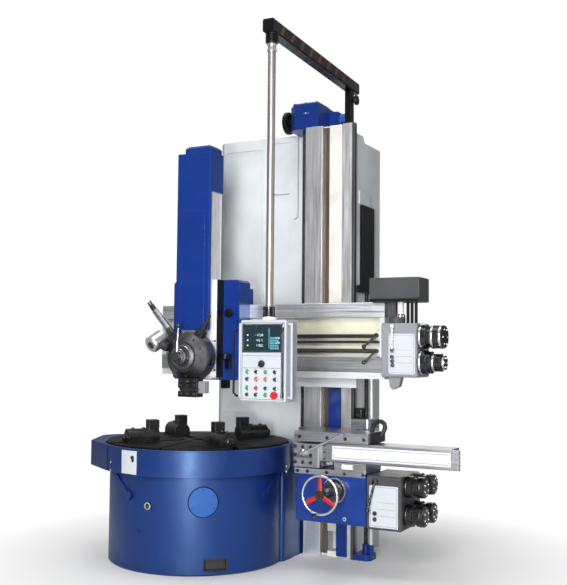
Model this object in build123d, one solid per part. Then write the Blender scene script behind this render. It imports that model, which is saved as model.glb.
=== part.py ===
from build123d import *
import math
import os

# Single-column vertical turret lathe. Millimetres, +Z up, table axis on the Z axis, front at -Y.

# Running gaps
SLIDE_GAP = 0.3
CLEAR = 6.0
FIT = 0.05

# Work table
TABLE_R = 718.0
TABLE_TOP = 915.0
TABLE_T = 75.0
TABLE_TURN = 10.0
BOSS_R = 560.0
SPINDLE_R = 150.0
SPINDLE_DEPTH = 190.0
TSLOT_NECK = 24.0
TSLOT_WIDE = 42.0
TSLOT_NECK_T = 24.0
TSLOT_DEPTH = 44.0
CENTRE_HOLE_R = 60.0
CENTRE_HOLE_DEPTH = 50.0
SLOT_START = 110.0
GUIDE_W = 60.0
GUIDE_DEPTH = 30.0

# Guard ring with its ear, and the housing under it
RING_GAP = 9.0
RING_WALL = 23.0
RING_H = 193.0
RING_IN = TABLE_R + RING_GAP
RING_R = RING_IN + RING_WALL
RING_TOP = TABLE_TOP - 13.0
RING_FLOOR_T = 20.0
DRUM_TOP = RING_TOP - RING_H
RING_OVERHANG = 60.0
DRUM_R = RING_R - RING_OVERHANG
EAR_ANGLE = 235.7
EAR_L = 400.0
EAR_OUT = 375.0
EAR_BACK = 36.0
EAR_IN = 215.0
STRUT_ANGLE = 54.5
STRUT_MID = -57.3
STRUT_L = 300.0
STRUT_W = 36.0
STRUT_T = 14.0
STRUT_LEAN = 36.0
BED_X0 = -330.0
BED_X1 = DRUM_R
BED_Y0 = 300.0
BED_TOP = DRUM_TOP - 19.0
COVER_R = 112.0
COVER_T = 14.0
COVER_Z = 490.0
COVER_ANGLE = -54.0
SIGHT_R = 28.0
SIGHT_ANGLE = -88.5
POCKET_ANGLE = -46.0

# Chuck jaws
JAW_R = 388.0
JAW_BODY_L = 250.0
JAW_BODY_W = 130.0
JAW_SIDE_H = 36.0
JAW_POST = 84.0
JAW_POST_H = 166.0
JAW_SCREW_R = 27.0
JAW_SOCKET = 24.0

# Column and its ways
COL_FRONT = DRUM_R + 75.0
COL_X0 = -310.0
COL_X1 = 1130.0
COL_BACK = COL_FRONT + 295.0
REAR_X = (-120.0, 850.0)
REAR_Y = COL_BACK + 340.0
WAY_FRONT = 470.0
WAY_T = 40.0
WAY_TOP = 3470.0
WAY_BACK = WAY_FRONT + WAY_T
COL_TOP = WAY_TOP + 20.0
SIDE_TOP = WAY_TOP - 70.0
SHOULDER_TOP = WAY_TOP - 120.0
REAR_TOP = COL_TOP - 190.0
LEFT_WAY_X = (705.0, 860.0)
RIGHT_WAY_X = (1035.0, 1145.0)
STRIP_X = (915.0, 1025.0)
STRIP_T = 20.0
STRIP_Z0 = 200.0
BOX_X0 = LEFT_WAY_X[0] - 5.0
RELIEF = 12.0

# Elevating gear on top
GEAR_X = (520.0, 800.0)
GEAR_FRONT = 500.0
GEAR_TOP = WAY_TOP + 220.0
GEAR_CHAMFER = 65.0
GEAR_SIDE_X = 880.0
MOTOR_R = 55.0
WHEEL_R = 95.0
WHEEL_W = 36.0
WHEEL_Y = 640.0
LIFT_SCREW_X = 620.0
LIFT_SCREW_Y = 640.0
LIFT_SCREW_R = 25.0
SLOT_COVER_Z = (2100.0, 2820.0)
FOOT_X1 = 1285.0
FOOT_T = 45.0
FOOT_BOSS_TOP = 110.0
FEED_SCREW_X = 1212.0
FEED_ROD_X = 1256.0
FEED_ROD_Y = 570.0
FEED_SCREW_R = 18.0
FEED_ROD_R = 13.0

# Pendant
POST_X = 1075.0
POST_Y = 520.0
POST_W = 60.0
PIN_R = 20.0
ARM_Z0 = 3744.0
ARM_H = 90.0
ARM_W = 84.0
ARM_REACH = 1470.0
ARM_TAIL = 120.0
ARM_YAW = 2.72
ARM_BOSS_R = 44.0
ARM_BOSS_H = 60.0
TUBE_R = 26.0
PENDANT_W = 335.0
PENDANT_D = 165.0
PENDANT_Z0 = 1300.0
PENDANT_H = 528.0
HANDLE_R = 8.0
HANDLE_OFF = 24.0
BUTTON_R = 9.0
BUTTON_X = (-113.0, -47.0, 23.0, 92.0)
BUTTON_DOWN = (337.0, 384.0, 442.0, 485.0)

# Cross rail
RAIL_X0 = -520.0
RAIL_X1 = 1500.0
RAIL_FRONT = 220.0
RAIL_Z0 = 1420.0
RAIL_TOP = 2000.0
RAIL_RECESS = 90.0
RAIL_SKIRT = 75.0
WAY_H = 115.0
LOWER_WAY = (RAIL_Z0 + 50.0, RAIL_Z0 + 50.0 + WAY_H)
UPPER_WAY = (RAIL_TOP - WAY_H, RAIL_TOP)
RAIL_SHAFT_Y = 262.0
SHAFT_Z = (1632.0, 1700.0, 1745.0)
SHAFT_R = (17.0, 10.0, 14.0)
BEARING_R = 44.0
RAIL_BOX_X = (RAIL_X1, 1780.0)
RAIL_BOX_Z = (1440.0, 1840.0)
RAIL_BOX_Y = (150.0, 430.0)
CLUTCH_R = 90.0
CLUTCH_Y = 230.0
CLUTCH_Z = (1552.0, 1740.0)
TERMINAL_X = (1400.0, 1790.0)
TERMINAL_Z = (RAIL_TOP, 2182.0)

# Vertical head
SADDLE_X = (-290.0, 335.0)
SADDLE_FRONT = 50.0
SADDLE_Z = (RAIL_Z0 - 30.0, RAIL_TOP + 190.0)
RAM_X = 20.0
RAM_W = 270.0
RAM_FRONT = -85.0
RAM_Z0 = 1400.0
RAM_TOP = 2890.0
COVER_FRONT = -150.0
COVER_SHEET = 22.0
COVER_W = 313.0
COVER_TOP = RAM_TOP + 310.0
CAP_H = 60.0
TURRET_Z = 1575.0
TURRET_R = 191.0
TURRET_BACK = -96.0
DRUM_W = 119.0
CONE_W = 75.0
HUB_R = 60.0
HUB_W = 50.0
NOSE_R = 36.0
NOSE_W = 40.0
STATION_R = 24.0
STATIONS = 5
FIRST_STATION = 60.0
RAM_COVER_Z0 = TURRET_Z + TURRET_R + 18.0
TOOL_Y = TURRET_BACK - 92.0

# Side head
SIDE_FRONT = 0.0
SIDE_RAM_X = (1085.0, 2140.0)
SIDE_RAM_Z = (807.0, 949.0)
SIDE_RAM_D = 210.0
SIDE_RAM_LIP = 65.0
SIDE_PLATE_T = 20.0
POST_X0 = 865.0
POST_PROUD = 30.0
SIDE_BACK_X = (745.0, 1200.0)
SIDE_Z = (640.0, 1025.0)
SIDE_DEPTH = 300.0
PLATE_X0 = 860.0
GUIDE_X0 = 1190.0
APRON_X = (876.0, 1442.0)
APRON_Z = (360.0, 738.0)
SHELF_T = 14.0
FLANGE_X1 = 1310.0
FLANGE_Z1 = 1100.0
SIDE_BOX_X = (APRON_X[1], 1712.0)
SIDE_BOX_Y = (10.0, 420.0)
SIDE_BOX_Z = (345.0, 730.0)
SIDE_CLUTCH_R = 78.0
SIDE_CLUTCH_L = 150.0
HANDWHEEL_X = 1206.0
HANDWHEEL_Z = 606.0
HANDWHEEL_Y = -280.0
HANDWHEEL_R = 145.0
RIM_R = 10.0
LEVER_R = 8.0


def block(x, y, z):
    """A box between two corners, each axis given as a pair."""
    size = (x[1] - x[0], y[1] - y[0], z[1] - z[0])
    centre = ((x[0] + x[1]) / 2, (y[0] + y[1]) / 2, (z[0] + z[1]) / 2)
    return Pos(*centre) * Box(*size)


def rod_z(x, y, z, r):
    return Pos(x, y, (z[0] + z[1]) / 2) * Cylinder(r, z[1] - z[0])


def rod_x(x, y, z, r):
    return Pos((x[0] + x[1]) / 2, y, z) * Rot(0, 90, 0) * Cylinder(r, x[1] - x[0])


def rod_y(x, y, z, r):
    return Pos(x, (y[0] + y[1]) / 2, z) * Rot(90, 0, 0) * Cylinder(r, y[1] - y[0])


def bar(p, q, r):
    """A round bar between two points."""
    line = Vector(*q) - Vector(*p)
    return Plane(origin=p, z_dir=line) * Pos(0, 0, line.length / 2) * Cylinder(r, line.length)


def plan(points, z):
    """A plan outline in x and y carried up from z[0] to z[1]."""
    face = make_face(Polyline(*[(x, y, z[0]) for x, y in points], close=True))
    return extrude(face, z[1] - z[0], dir=(0, 0, 1))


def section(points, x):
    """A cross-section in y and z carried along X from x[0] to x[1]."""
    face = make_face(Polyline(*[(x[0], y, z) for y, z in points], close=True))
    return extrude(face, x[1] - x[0], dir=(1, 0, 0))


def lathe(points):
    """A profile of (radius, height) pairs turned about the Z axis."""
    face = make_face(Polyline(*[(r, 0, h) for r, h in points], close=True))
    return revolve(face, axis=Axis.Z)


def along_x(shape, x, y, z):
    """A turned shape laid with its height along +X."""
    return Pos(x, y, z) * Rot(0, 90, 0) * shape


def forward(shape, x, y, z):
    """A turned shape laid with its height towards the operator, along -Y."""
    return Pos(x, y, z) * Rot(90, 0, 0) * shape


def ball(x, y, z, r):
    """A turned knob with a few flats in place of a true sphere."""
    steps = [(r * math.sin(math.radians(a)), -r * math.cos(math.radians(a))) for a in range(0, 181, 30)]
    return Pos(x, y, z) * lathe(steps)


def softened(shape, size):
    """The shape with all its edges chamfered."""
    return chamfer(shape.edges(), size)


def joined(shapes):
    """All the shapes of a list in one."""
    total = shapes[0]
    for shape in shapes[1:]:
        total = total + shape
    return total


def table_housing():
    """The round base casting with the bed that carries it back to the column."""
    drum = lathe([(0, 0), (DRUM_R - 12, 0), (DRUM_R, 12), (DRUM_R, DRUM_TOP), (0, DRUM_TOP)])
    bed = block((BED_X0, BED_X1), (BED_Y0, COL_FRONT - SLIDE_GAP), (0, BED_TOP))
    shoulder = block((BED_X1 - 130, BED_X1 + 8), (BED_Y0 - 160, BED_Y0), (0, BED_TOP))
    shoulder = fillet(shoulder.edges().filter_by(Axis.Z).group_by(Axis.Y)[0], 25)
    body = drum + bed + shoulder
    body -= rod_z(0, 0, (DRUM_TOP - SPINDLE_DEPTH - CLEAR, DRUM_TOP), SPINDLE_R + FIT)
    pocket = Rot(0, 0, POCKET_ANGLE) * block((DRUM_R - 60, DRUM_R + 20), (-90, 90), (30, 122))
    return body - pocket


def strut(side):
    """A flat stay that runs from the guard ring down the drum to a bolting tab."""
    y = (-STRUT_L / 2, STRUT_L / 2)
    x = (DRUM_R - 14, DRUM_R + STRUT_T)
    stay = block(x, y, (-STRUT_W / 2, STRUT_W / 2)) + block(x, (y[0], y[0] + 45), (-STRUT_W / 2, STRUT_W))
    stay = Pos(0, 0, DRUM_TOP - 92) * Rot(side * STRUT_LEAN, 0, 0) * mirror_side(stay, side)
    inside = rod_z(0, 0, (0, DRUM_TOP), DRUM_R + SLIDE_GAP)
    return Rot(0, 0, STRUT_MID + side * STRUT_ANGLE) * stay - inside


def mirror_side(shape, side):
    """The shape as drawn for side 1, mirrored in the XZ plane for side -1."""
    return shape if side > 0 else mirror(shape, Plane.XZ)


def guard_ring():
    """The splash ring with its floor, the box on its left and the two stays under it."""
    ring = lathe([(BOSS_R + 40, DRUM_TOP), (RING_R, DRUM_TOP), (RING_R, RING_TOP), (RING_IN, RING_TOP),
                  (RING_IN, DRUM_TOP + RING_FLOOR_T), (BOSS_R + 40, DRUM_TOP + RING_FLOOR_T)])
    face = RING_R + CLEAR
    ear = plan([(face, 10), (face, -EAR_L), (face - EAR_IN, -EAR_L - EAR_OUT),
                (face - EAR_IN - 133, -EAR_L - EAR_OUT - EAR_BACK), (face - EAR_IN - 353, -EAR_L - 319)],
               (DRUM_TOP, RING_TOP))
    ear = Rot(0, 0, EAR_ANGLE) * ear - rod_z(0, 0, (DRUM_TOP, RING_TOP), RING_R - 2)
    return ring + ear + strut(1) + strut(-1)


def housing_covers():
    """The round cover plate and the small oil sight glass on the drum."""
    disc = rod_x((DRUM_R - 30, DRUM_R + COVER_T), 0, COVER_Z, COVER_R)
    disc -= rod_z(0, 0, (0, DRUM_TOP), DRUM_R + SLIDE_GAP)
    sight = rod_x((DRUM_R - 8, DRUM_R + 10), 0, COVER_Z, SIGHT_R)
    sight -= rod_z(0, 0, (0, DRUM_TOP), DRUM_R + SLIDE_GAP)
    return Rot(0, 0, COVER_ANGLE) * disc + Rot(0, 0, SIGHT_ANGLE) * sight


def table_plate():
    """The face plate with its boss and spindle, its T-slots and the guides of the jaws."""
    under = TABLE_TOP - TABLE_T
    plate = lathe([(0, DRUM_TOP - SPINDLE_DEPTH), (SPINDLE_R, DRUM_TOP - SPINDLE_DEPTH),
                   (SPINDLE_R, DRUM_TOP + CLEAR), (BOSS_R, DRUM_TOP + CLEAR), (BOSS_R, under),
                   (TABLE_R, under), (TABLE_R, TABLE_TOP - 5), (TABLE_R - 5, TABLE_TOP), (0, TABLE_TOP)])
    length = (SLOT_START, TABLE_R + 10)
    neck = block(length, (-TSLOT_NECK / 2, TSLOT_NECK / 2), (TABLE_TOP - TSLOT_NECK_T, TABLE_TOP))
    foot = block(length, (-TSLOT_WIDE / 2, TSLOT_WIDE / 2), (TABLE_TOP - TSLOT_DEPTH, TABLE_TOP - TSLOT_NECK_T))
    guide = block(length, (-GUIDE_W / 2, GUIDE_W / 2), (TABLE_TOP - GUIDE_DEPTH, TABLE_TOP))
    for turn in range(4):
        plate -= Rot(0, 0, TABLE_TURN + 90 * turn) * (neck + foot)
        plate -= Rot(0, 0, TABLE_TURN + 45 + 90 * turn) * guide
    return plate - rod_z(0, 0, (TABLE_TOP - CENTRE_HOLE_DEPTH, TABLE_TOP), CENTRE_HOLE_R)


def jaw(turn):
    """One chuck jaw: a tenon in the radial guide, an arched body and a square gripping post."""
    half = JAW_BODY_W / 2
    top = TABLE_TOP + SLIDE_GAP
    inner = JAW_R - JAW_POST / 2
    outer = inner + JAW_BODY_L
    tenon = block((inner, outer), (-GUIDE_W / 2 + SLIDE_GAP, GUIDE_W / 2 - SLIDE_GAP),
                  (TABLE_TOP - GUIDE_DEPTH + SLIDE_GAP, top))
    side = block((inner, outer), (-half, half), (top, top + JAW_SIDE_H))
    arch = rod_x((inner, outer), 0, top + JAW_SIDE_H, half)
    arch &= block((inner, outer), (-half, half), (top + JAW_SIDE_H, top + JAW_SIDE_H + half))
    post = block((inner, inner + JAW_POST), (-JAW_POST / 2, JAW_POST / 2), (top, top + JAW_POST_H))
    post = chamfer(post.edges().filter_by(Axis.Z), 5)
    screw = rod_x((outer - 5, outer + 30), 0, top + JAW_SIDE_H, JAW_SCREW_R)
    socket = block((outer + 4, outer + 31), (-JAW_SOCKET / 2, JAW_SOCKET / 2),
                   (top + JAW_SIDE_H - JAW_SOCKET / 2, top + JAW_SIDE_H + JAW_SOCKET / 2))
    return Rot(0, 0, TABLE_TURN + turn) * (tenon + side + arch + post + screw - socket)


def column():
    """The column casting: front box, narrow rear box, way box and the reliefs of its front."""
    front = plan([(COL_X0 + 50, COL_FRONT), (BOX_X0, COL_FRONT), (BOX_X0, COL_BACK),
                  (COL_X0 + 50, COL_BACK), (COL_X0, COL_BACK - 50), (COL_X0, COL_FRONT + 50)], (0, COL_TOP))
    way_box = section([(WAY_BACK, 0), (WAY_BACK, WAY_TOP), (WAY_BACK + 40, WAY_TOP), (WAY_BACK + 40, SIDE_TOP),
                       (WAY_BACK + 170, SIDE_TOP), (WAY_BACK + 210, SHOULDER_TOP), (COL_BACK, SHOULDER_TOP),
                       (COL_BACK, 0)], (BOX_X0, COL_X1))
    rear = plan([(REAR_X[0], COL_BACK), (REAR_X[1], COL_BACK), (REAR_X[1], REAR_Y - 90),
                 (REAR_X[1] - 90, REAR_Y), (REAR_X[0] + 90, REAR_Y), (REAR_X[0], REAR_Y - 90)], (0, REAR_TOP))
    wide = block((COL_X0 + 60, COL_X0 + 450), (COL_FRONT, COL_FRONT + RELIEF), (1100, COL_TOP - 90))
    narrow = block((COL_X0 + 510, COL_X0 + 730), (COL_FRONT, COL_FRONT + RELIEF), (2980, COL_TOP - 50))
    ridge = block((COL_X0 + 735, COL_X0 + 810), (COL_FRONT - 30, COL_FRONT), (2760, WAY_TOP))
    ridge = fillet(ridge.edges().filter_by(Axis.Y).group_by(Axis.Z)[0], 34)
    body = front + way_box + rear + ridge
    for relief in (wide, narrow):
        body -= fillet(relief.edges().filter_by(Axis.Y), 26)
    return body - block(STRIP_X, (WAY_BACK, WAY_BACK + 90), (FOOT_T, STRIP_Z0))


def column_ways():
    """The two ground ways, each with its front edges broken."""
    ways = [block(x, (WAY_FRONT, WAY_BACK), (0, WAY_TOP)) for x in (LEFT_WAY_X, RIGHT_WAY_X)]
    return joined([chamfer(w.edges().filter_by(Axis.Z).group_by(Axis.Y)[0], 4) for w in ways])


def way_cover():
    """The cover strip between the ways, and the short piece of it below the opening."""
    y = (WAY_BACK - STRIP_T, WAY_BACK)
    return block(STRIP_X, y, (STRIP_Z0, WAY_TOP)) + block(STRIP_X, y, (0, FOOT_T))


def side_slot_cover():
    """The cover on the column's side, with the upper bearing of the side head's shafts."""
    cover = block((COL_X1, COL_X1 + 22), (FEED_ROD_Y + 50, FEED_ROD_Y + 310), SLOT_COVER_Z)
    bearing = block((RIGHT_WAY_X[1] + SLIDE_GAP, FOOT_X1), (FEED_ROD_Y - 45, FEED_ROD_Y + 90),
                    (SLOT_COVER_Z[0], SLOT_COVER_Z[0] + 60))
    bearing = fillet(bearing.edges().filter_by(Axis.Z).group_by(Axis.X)[-1], 30)
    return cover + bearing


def column_foot():
    """The foot plate beside the column, with the lower bearings of the two shafts."""
    x0 = RIGHT_WAY_X[1] + SLIDE_GAP
    foot = block((x0, FOOT_X1), (WAY_FRONT, FEED_ROD_Y + 70), (0, FOOT_T))
    foot = fillet(foot.edges().filter_by(Axis.Z).group_by(Axis.X)[-1], 50)
    screw_boss = rod_z(FEED_SCREW_X, FEED_ROD_Y, (FOOT_T, FOOT_BOSS_TOP), FEED_SCREW_R + 10)
    rod_boss = rod_z(FEED_ROD_X, FEED_ROD_Y, (FOOT_T, FOOT_BOSS_TOP), FEED_ROD_R + 8)
    return foot + screw_boss + rod_boss


def elevating_gearbox():
    """The gear case on top of the ways, its set-back side case and the motor's end."""
    front = plan([(GEAR_X[0] + GEAR_CHAMFER, GEAR_FRONT), (GEAR_X[1], GEAR_FRONT), (GEAR_X[1], COL_FRONT),
                  (GEAR_X[0], COL_FRONT), (GEAR_X[0], GEAR_FRONT + GEAR_CHAMFER)], (WAY_TOP, GEAR_TOP))
    front = chamfer(front.edges().group_by(Axis.Z)[-1], 10)
    seat = block(GEAR_X, (COL_FRONT, COL_FRONT + 70), (COL_TOP, GEAR_TOP - 10))
    side = block((BOX_X0, GEAR_SIDE_X), (COL_FRONT - 40, COL_FRONT + 95), (SHOULDER_TOP, GEAR_TOP - 40))
    motor = lathe([(0, 0), (MOTOR_R, 0), (MOTOR_R, 62), (MOTOR_R - 9, 62), (MOTOR_R - 9, 80), (0, 80)])
    return front + seat + side + along_x(motor, GEAR_SIDE_X, COL_FRONT + 25, GEAR_TOP - 110)


def brake_wheel():
    """The hand wheel on the gear case's left, with a rim, a thin web and a hub on its shaft."""
    x0 = GEAR_X[0] - 44 - WHEEL_W
    wheel = lathe([(0, 0), (WHEEL_R - 4, 0), (WHEEL_R, 4), (WHEEL_R, WHEEL_W - 4), (WHEEL_R - 4, WHEEL_W),
                   (WHEEL_R - 18, WHEEL_W), (WHEEL_R - 18, 14), (30, 14), (30, WHEEL_W + 10),
                   (14, WHEEL_W + 10), (14, GEAR_X[0] - x0), (0, GEAR_X[0] - x0)])
    return along_x(wheel, x0, WHEEL_Y, WAY_TOP + 100)


def rail_lift_screw():
    return rod_z(LIFT_SCREW_X, LIFT_SCREW_Y, (BED_TOP, WAY_TOP), LIFT_SCREW_R)


def side_feed_shafts():
    """The side head's screw and feed rod, from the foot up to the upper bearing."""
    z = (FOOT_BOSS_TOP, SLOT_COVER_Z[0])
    return rod_z(FEED_SCREW_X, FEED_ROD_Y, z, FEED_SCREW_R) + rod_z(FEED_ROD_X, FEED_ROD_Y, z, FEED_ROD_R)


def pendant_post():
    """The square post on the column, its plinth, the pin of the arm and the clamp knob."""
    half = POST_W / 2
    plinth = block((POST_X - 50, POST_X + half), (POST_Y - 40, POST_Y + 50), (WAY_TOP, WAY_TOP + 14))
    post = block((POST_X - half, POST_X + half), (POST_Y - half, POST_Y + half), (WAY_TOP, ARM_Z0 - SLIDE_GAP))
    post = fillet(post.edges().filter_by(Axis.Z), 8)
    pin = rod_z(POST_X, POST_Y, (ARM_Z0 - SLIDE_GAP, ARM_Z0 + ARM_H - 20), PIN_R)
    knob = lathe([(0, 0), (12, 0), (12, 14), (38, 22), (42, 30), (38, 42), (0, 46)])
    return plinth + post + pin + along_x(knob, POST_X + half, POST_Y, ARM_Z0 - 80)


def turned(shape):
    """A pendant piece turned by the arm's own angle about the post."""
    return Pos(POST_X, POST_Y, 0) * Rot(0, 0, ARM_YAW) * shape


def pendant_arm():
    """The swinging arm, bored for the post's pin and for the pendant's tube."""
    top = ARM_Z0 + ARM_H
    beam = block((-ARM_W / 2, ARM_W / 2), (-ARM_REACH - 60, ARM_TAIL), (ARM_Z0, top))
    beam = chamfer(beam.edges().filter_by(Axis.Y), 8)
    beam += rod_z(0, -ARM_REACH, (ARM_Z0 - ARM_BOSS_H, ARM_Z0), ARM_BOSS_R)
    beam -= rod_z(0, 0, (ARM_Z0, top - 20 + CLEAR), PIN_R + FIT)
    beam -= rod_z(0, -ARM_REACH, (ARM_Z0 - ARM_BOSS_H, top - 40), TUBE_R + FIT)
    return turned(beam)


def pendant_tube():
    """The hanging tube with its clamp and the white collar on the box."""
    z = PENDANT_Z0 + PENDANT_H
    tube = lathe([(0, z), (TUBE_R + 22, z), (TUBE_R + 22, z + 22), (TUBE_R + 14, z + 22),
                  (TUBE_R + 14, z + 50), (TUBE_R + 7, z + 54), (TUBE_R + 7, z + 62), (TUBE_R + 14, z + 66),
                  (TUBE_R + 14, z + 90), (TUBE_R, z + 90), (TUBE_R, ARM_Z0 + ARM_H - 40 - CLEAR),
                  (0, ARM_Z0 + ARM_H - 40 - CLEAR)])
    return turned(Pos(0, -ARM_REACH, 0) * tube)


def pendant_centre():
    """Plan centre of the pendant's box, which hangs under the end of the arm."""
    lean = math.radians(ARM_YAW)
    return POST_X + ARM_REACH * math.sin(lean), POST_Y - ARM_REACH * math.cos(lean)


def pendant_box():
    """The control box with a hand rail on each side."""
    x, y = pendant_centre()
    half = PENDANT_W / 2
    case = block((x - half, x + half), (y - PENDANT_D / 2, y + PENDANT_D / 2),
                 (PENDANT_Z0, PENDANT_Z0 + PENDANT_H))
    case = softened(case, 6)
    rail_y = y - PENDANT_D / 2 + 35
    z = (PENDANT_Z0 + 20, PENDANT_Z0 + PENDANT_H - 20)
    for side in (-1, 1):
        rail_x = x + side * (half + HANDLE_OFF)
        case += rod_z(rail_x, rail_y, z, HANDLE_R)
        for height in (z[0] + HANDLE_R, z[1] - HANDLE_R):
            ends = sorted((x + side * (half - 2), rail_x))
            case += rod_x(ends, rail_y, height, HANDLE_R - 2)
    return case


def pendant_controls():
    """The screen's frame, the selector, and four rows of buttons on the box's front."""
    x, y = pendant_centre()
    front = y - PENDANT_D / 2
    top = PENDANT_Z0 + PENDANT_H
    frame = block((x - 150, x + 140), (front - 5, front), (top - 209, top - 28))
    pieces = [frame - block((x - 140, x + 130), (front - 5, front - 2), (top - 199, top - 38))]
    pieces.append(forward(lathe([(0, 0), (22, 0), (22, 6), (15, 8), (15, 20), (0, 20)]), x - 9, front, top - 284))
    button = lathe([(0, 0), (BUTTON_R + 4, 0), (BUTTON_R + 4, 4), (BUTTON_R, 4), (BUTTON_R, 12), (0, 12)])
    stop = lathe([(0, 0), (13, 0), (13, 14), (20, 16), (20, 24), (14, 30), (0, 30)])
    for row, down in enumerate(BUTTON_DOWN):
        for column_number, across in enumerate(BUTTON_X):
            last = row == len(BUTTON_DOWN) - 1 and column_number == len(BUTTON_X) - 1
            pieces.append(forward(stop if last else button, x + across, front, top - down))
    return joined(pieces)


def cross_rail():
    """The rail's casting in section, its skirt over the ways and the nut of the lift screw."""
    back = WAY_FRONT - SLIDE_GAP
    face = RAIL_FRONT + RAIL_RECESS
    rail = section([(RAIL_FRONT + 10, RAIL_Z0), (back, RAIL_Z0), (back, RAIL_TOP), (face, RAIL_TOP),
                    (face, LOWER_WAY[0]), (RAIL_FRONT + 10, LOWER_WAY[0])], (RAIL_X0, RAIL_X1))
    skirt = block((BOX_X0 - 10, RIGHT_WAY_X[1] + 80), (face + 20, back), (RAIL_Z0 - RAIL_SKIRT, RAIL_Z0))
    nut_z = (RAIL_Z0 + 80, RAIL_Z0 + 200)
    nut = block((LIFT_SCREW_X - 60, BOX_X0 - 10), (back, LIFT_SCREW_Y + 60), nut_z)
    return rail + skirt + nut - rod_z(LIFT_SCREW_X, LIFT_SCREW_Y, nut_z, LIFT_SCREW_R + FIT)


def rail_ways():
    """The upper and the lower ground way of the cross rail."""
    y = (RAIL_FRONT, RAIL_FRONT + RAIL_RECESS)
    ways = [block((RAIL_X0, RAIL_X1), y, z) for z in (LOWER_WAY, UPPER_WAY)]
    return joined([chamfer(w.edges().filter_by(Axis.X).group_by(Axis.Y)[0], 4) for w in ways])


def shafts(x, grow):
    """The rail's screw and its two rods, thickened by a clearance where they pass a bearing."""
    return joined([rod_x(x, RAIL_SHAFT_Y, z, r + grow) for z, r in zip(SHAFT_Z, SHAFT_R)])


def rail_shafts():
    return shafts((RAIL_X0 + 10, RAIL_X1 - CLEAR), 0)


def rail_end_bracket():
    """The bearing brackets at both ends of the rail, the right one with two round housings."""
    y = (RAIL_FRONT, RAIL_FRONT + RAIL_RECESS)
    z = (LOWER_WAY[1], UPPER_WAY[0])
    right = block((RAIL_X1 - 40, RAIL_X1), y, z)
    housing = lathe([(0, 0), (BEARING_R - 8, 0), (BEARING_R, 8), (BEARING_R, 34), (0, 34)])
    for height in (SHAFT_Z[0], SHAFT_Z[2] + 5):
        right += along_x(housing, RAIL_X1 - 74, RAIL_SHAFT_Y, height)
    left = block((RAIL_X0, RAIL_X0 + 40), y, z)
    return right + left - shafts((RAIL_X0 - 10, RAIL_X1 + 10), FIT)


def rail_feed_box():
    """The feed gear case at the rail's end, with the small bracket under it."""
    case = softened(block(RAIL_BOX_X, RAIL_BOX_Y, RAIL_BOX_Z), 8)
    x = RAIL_BOX_X[0]
    bracket = [(x + 45, RAIL_BOX_Z[0] + 10), (x + 150, RAIL_BOX_Z[0] + 10), (x + 128, RAIL_BOX_Z[0] - 70),
               (x + 78, RAIL_BOX_Z[0] - 92), (x + 58, RAIL_BOX_Z[0] - 70)]
    face = make_face(Polyline(*[(px, RAIL_BOX_Y[0] + 30, pz) for px, pz in bracket], close=True))
    return case + extrude(face, 60, dir=(0, 1, 0))


def rail_levers():
    """The lever and knobs on the feed case, and the two clamp handles at the shafts' end."""
    front = RAIL_BOX_Y[0]
    x = RAIL_BOX_X[0] + 92
    top = RAIL_BOX_Z[1]
    hub = forward(lathe([(0, 0), (20, 0), (20, 14), (12, 22), (0, 22)]), x, front, top - 200)
    lever = bar((x, front - 14, top - 200), (x + 8, front - 34, top - 30), 6)
    pieces = [hub + lever + ball(x + 8, front - 34, top - 24, 17)]
    for down in (250, 282, 312):
        knob = lathe([(0, 0), (7, 0), (7, 10), (14, 16), (14, 28), (0, 34)])
        pieces.append(forward(knob, x + down / 25 - 8, front, top - down))
    for z, x1 in ((SHAFT_Z[2] + 5, RAIL_X1 - 60), (SHAFT_Z[0], RAIL_X1 - 60)):
        y = RAIL_SHAFT_Y - BEARING_R - SLIDE_GAP
        boss = forward(lathe([(0, 0), (17, 0), (17, 24), (0, 24)]), x1, y, z)
        grip = bar((x1, y - 14, z), (x1 - 92, y - 34, z - 86), 8)
        pieces.append(boss + grip + ball(x1 - 92, y - 34, z - 86, 17))
    return joined(pieces)


def rail_clutches():
    """Two stacks of turned clutch housings on the feed case's end."""
    r = CLUTCH_R
    closed = lathe([(0, 0), (r, 0), (r, 58), (r - 8, 64), (r - 14, 64), (r - 14, 84), (r - 4, 90),
                    (r - 4, 180), (r - 12, 190), (0, 190)])
    stepped = lathe([(0, 0), (r, 0), (r, 58), (r - 8, 64), (r - 8, 92), (r - 24, 92), (r - 24, 166),
                     (r - 38, 166), (r - 38, 192), (0, 192)])
    return along_x(stepped, RAIL_BOX_X[1], CLUTCH_Y, CLUTCH_Z[0]) + along_x(closed, RAIL_BOX_X[1], CLUTCH_Y, CLUTCH_Z[1])


def rail_terminal_box():
    """The terminal box over the rail's end, its stand and the round base on the feed case."""
    case = softened(block(TERMINAL_X, (170, 400), TERMINAL_Z), 6)
    stand = block((RAIL_BOX_X[0] + 30, RAIL_BOX_X[0] + 80), (240, 330), (RAIL_BOX_Z[1], TERMINAL_Z[0]))
    base = rod_z(RAIL_BOX_X[0] + 90, 250, (RAIL_BOX_Z[1], RAIL_BOX_Z[1] + 46), 62)
    return case + stand + base


def rail_cables():
    """The pipe and the three hoses between the feed case and the terminal box."""
    z = (RAIL_BOX_Z[1], TERMINAL_Z[0])
    x0 = RAIL_BOX_X[0] + 175
    pipe = rod_z(RAIL_BOX_X[0] + 118, 250, (RAIL_BOX_Z[1] + 46, z[1]), 24)
    return joined([pipe] + [rod_z(x0 + 32 * k, 250, z, 13) for k in range(3)])


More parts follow.
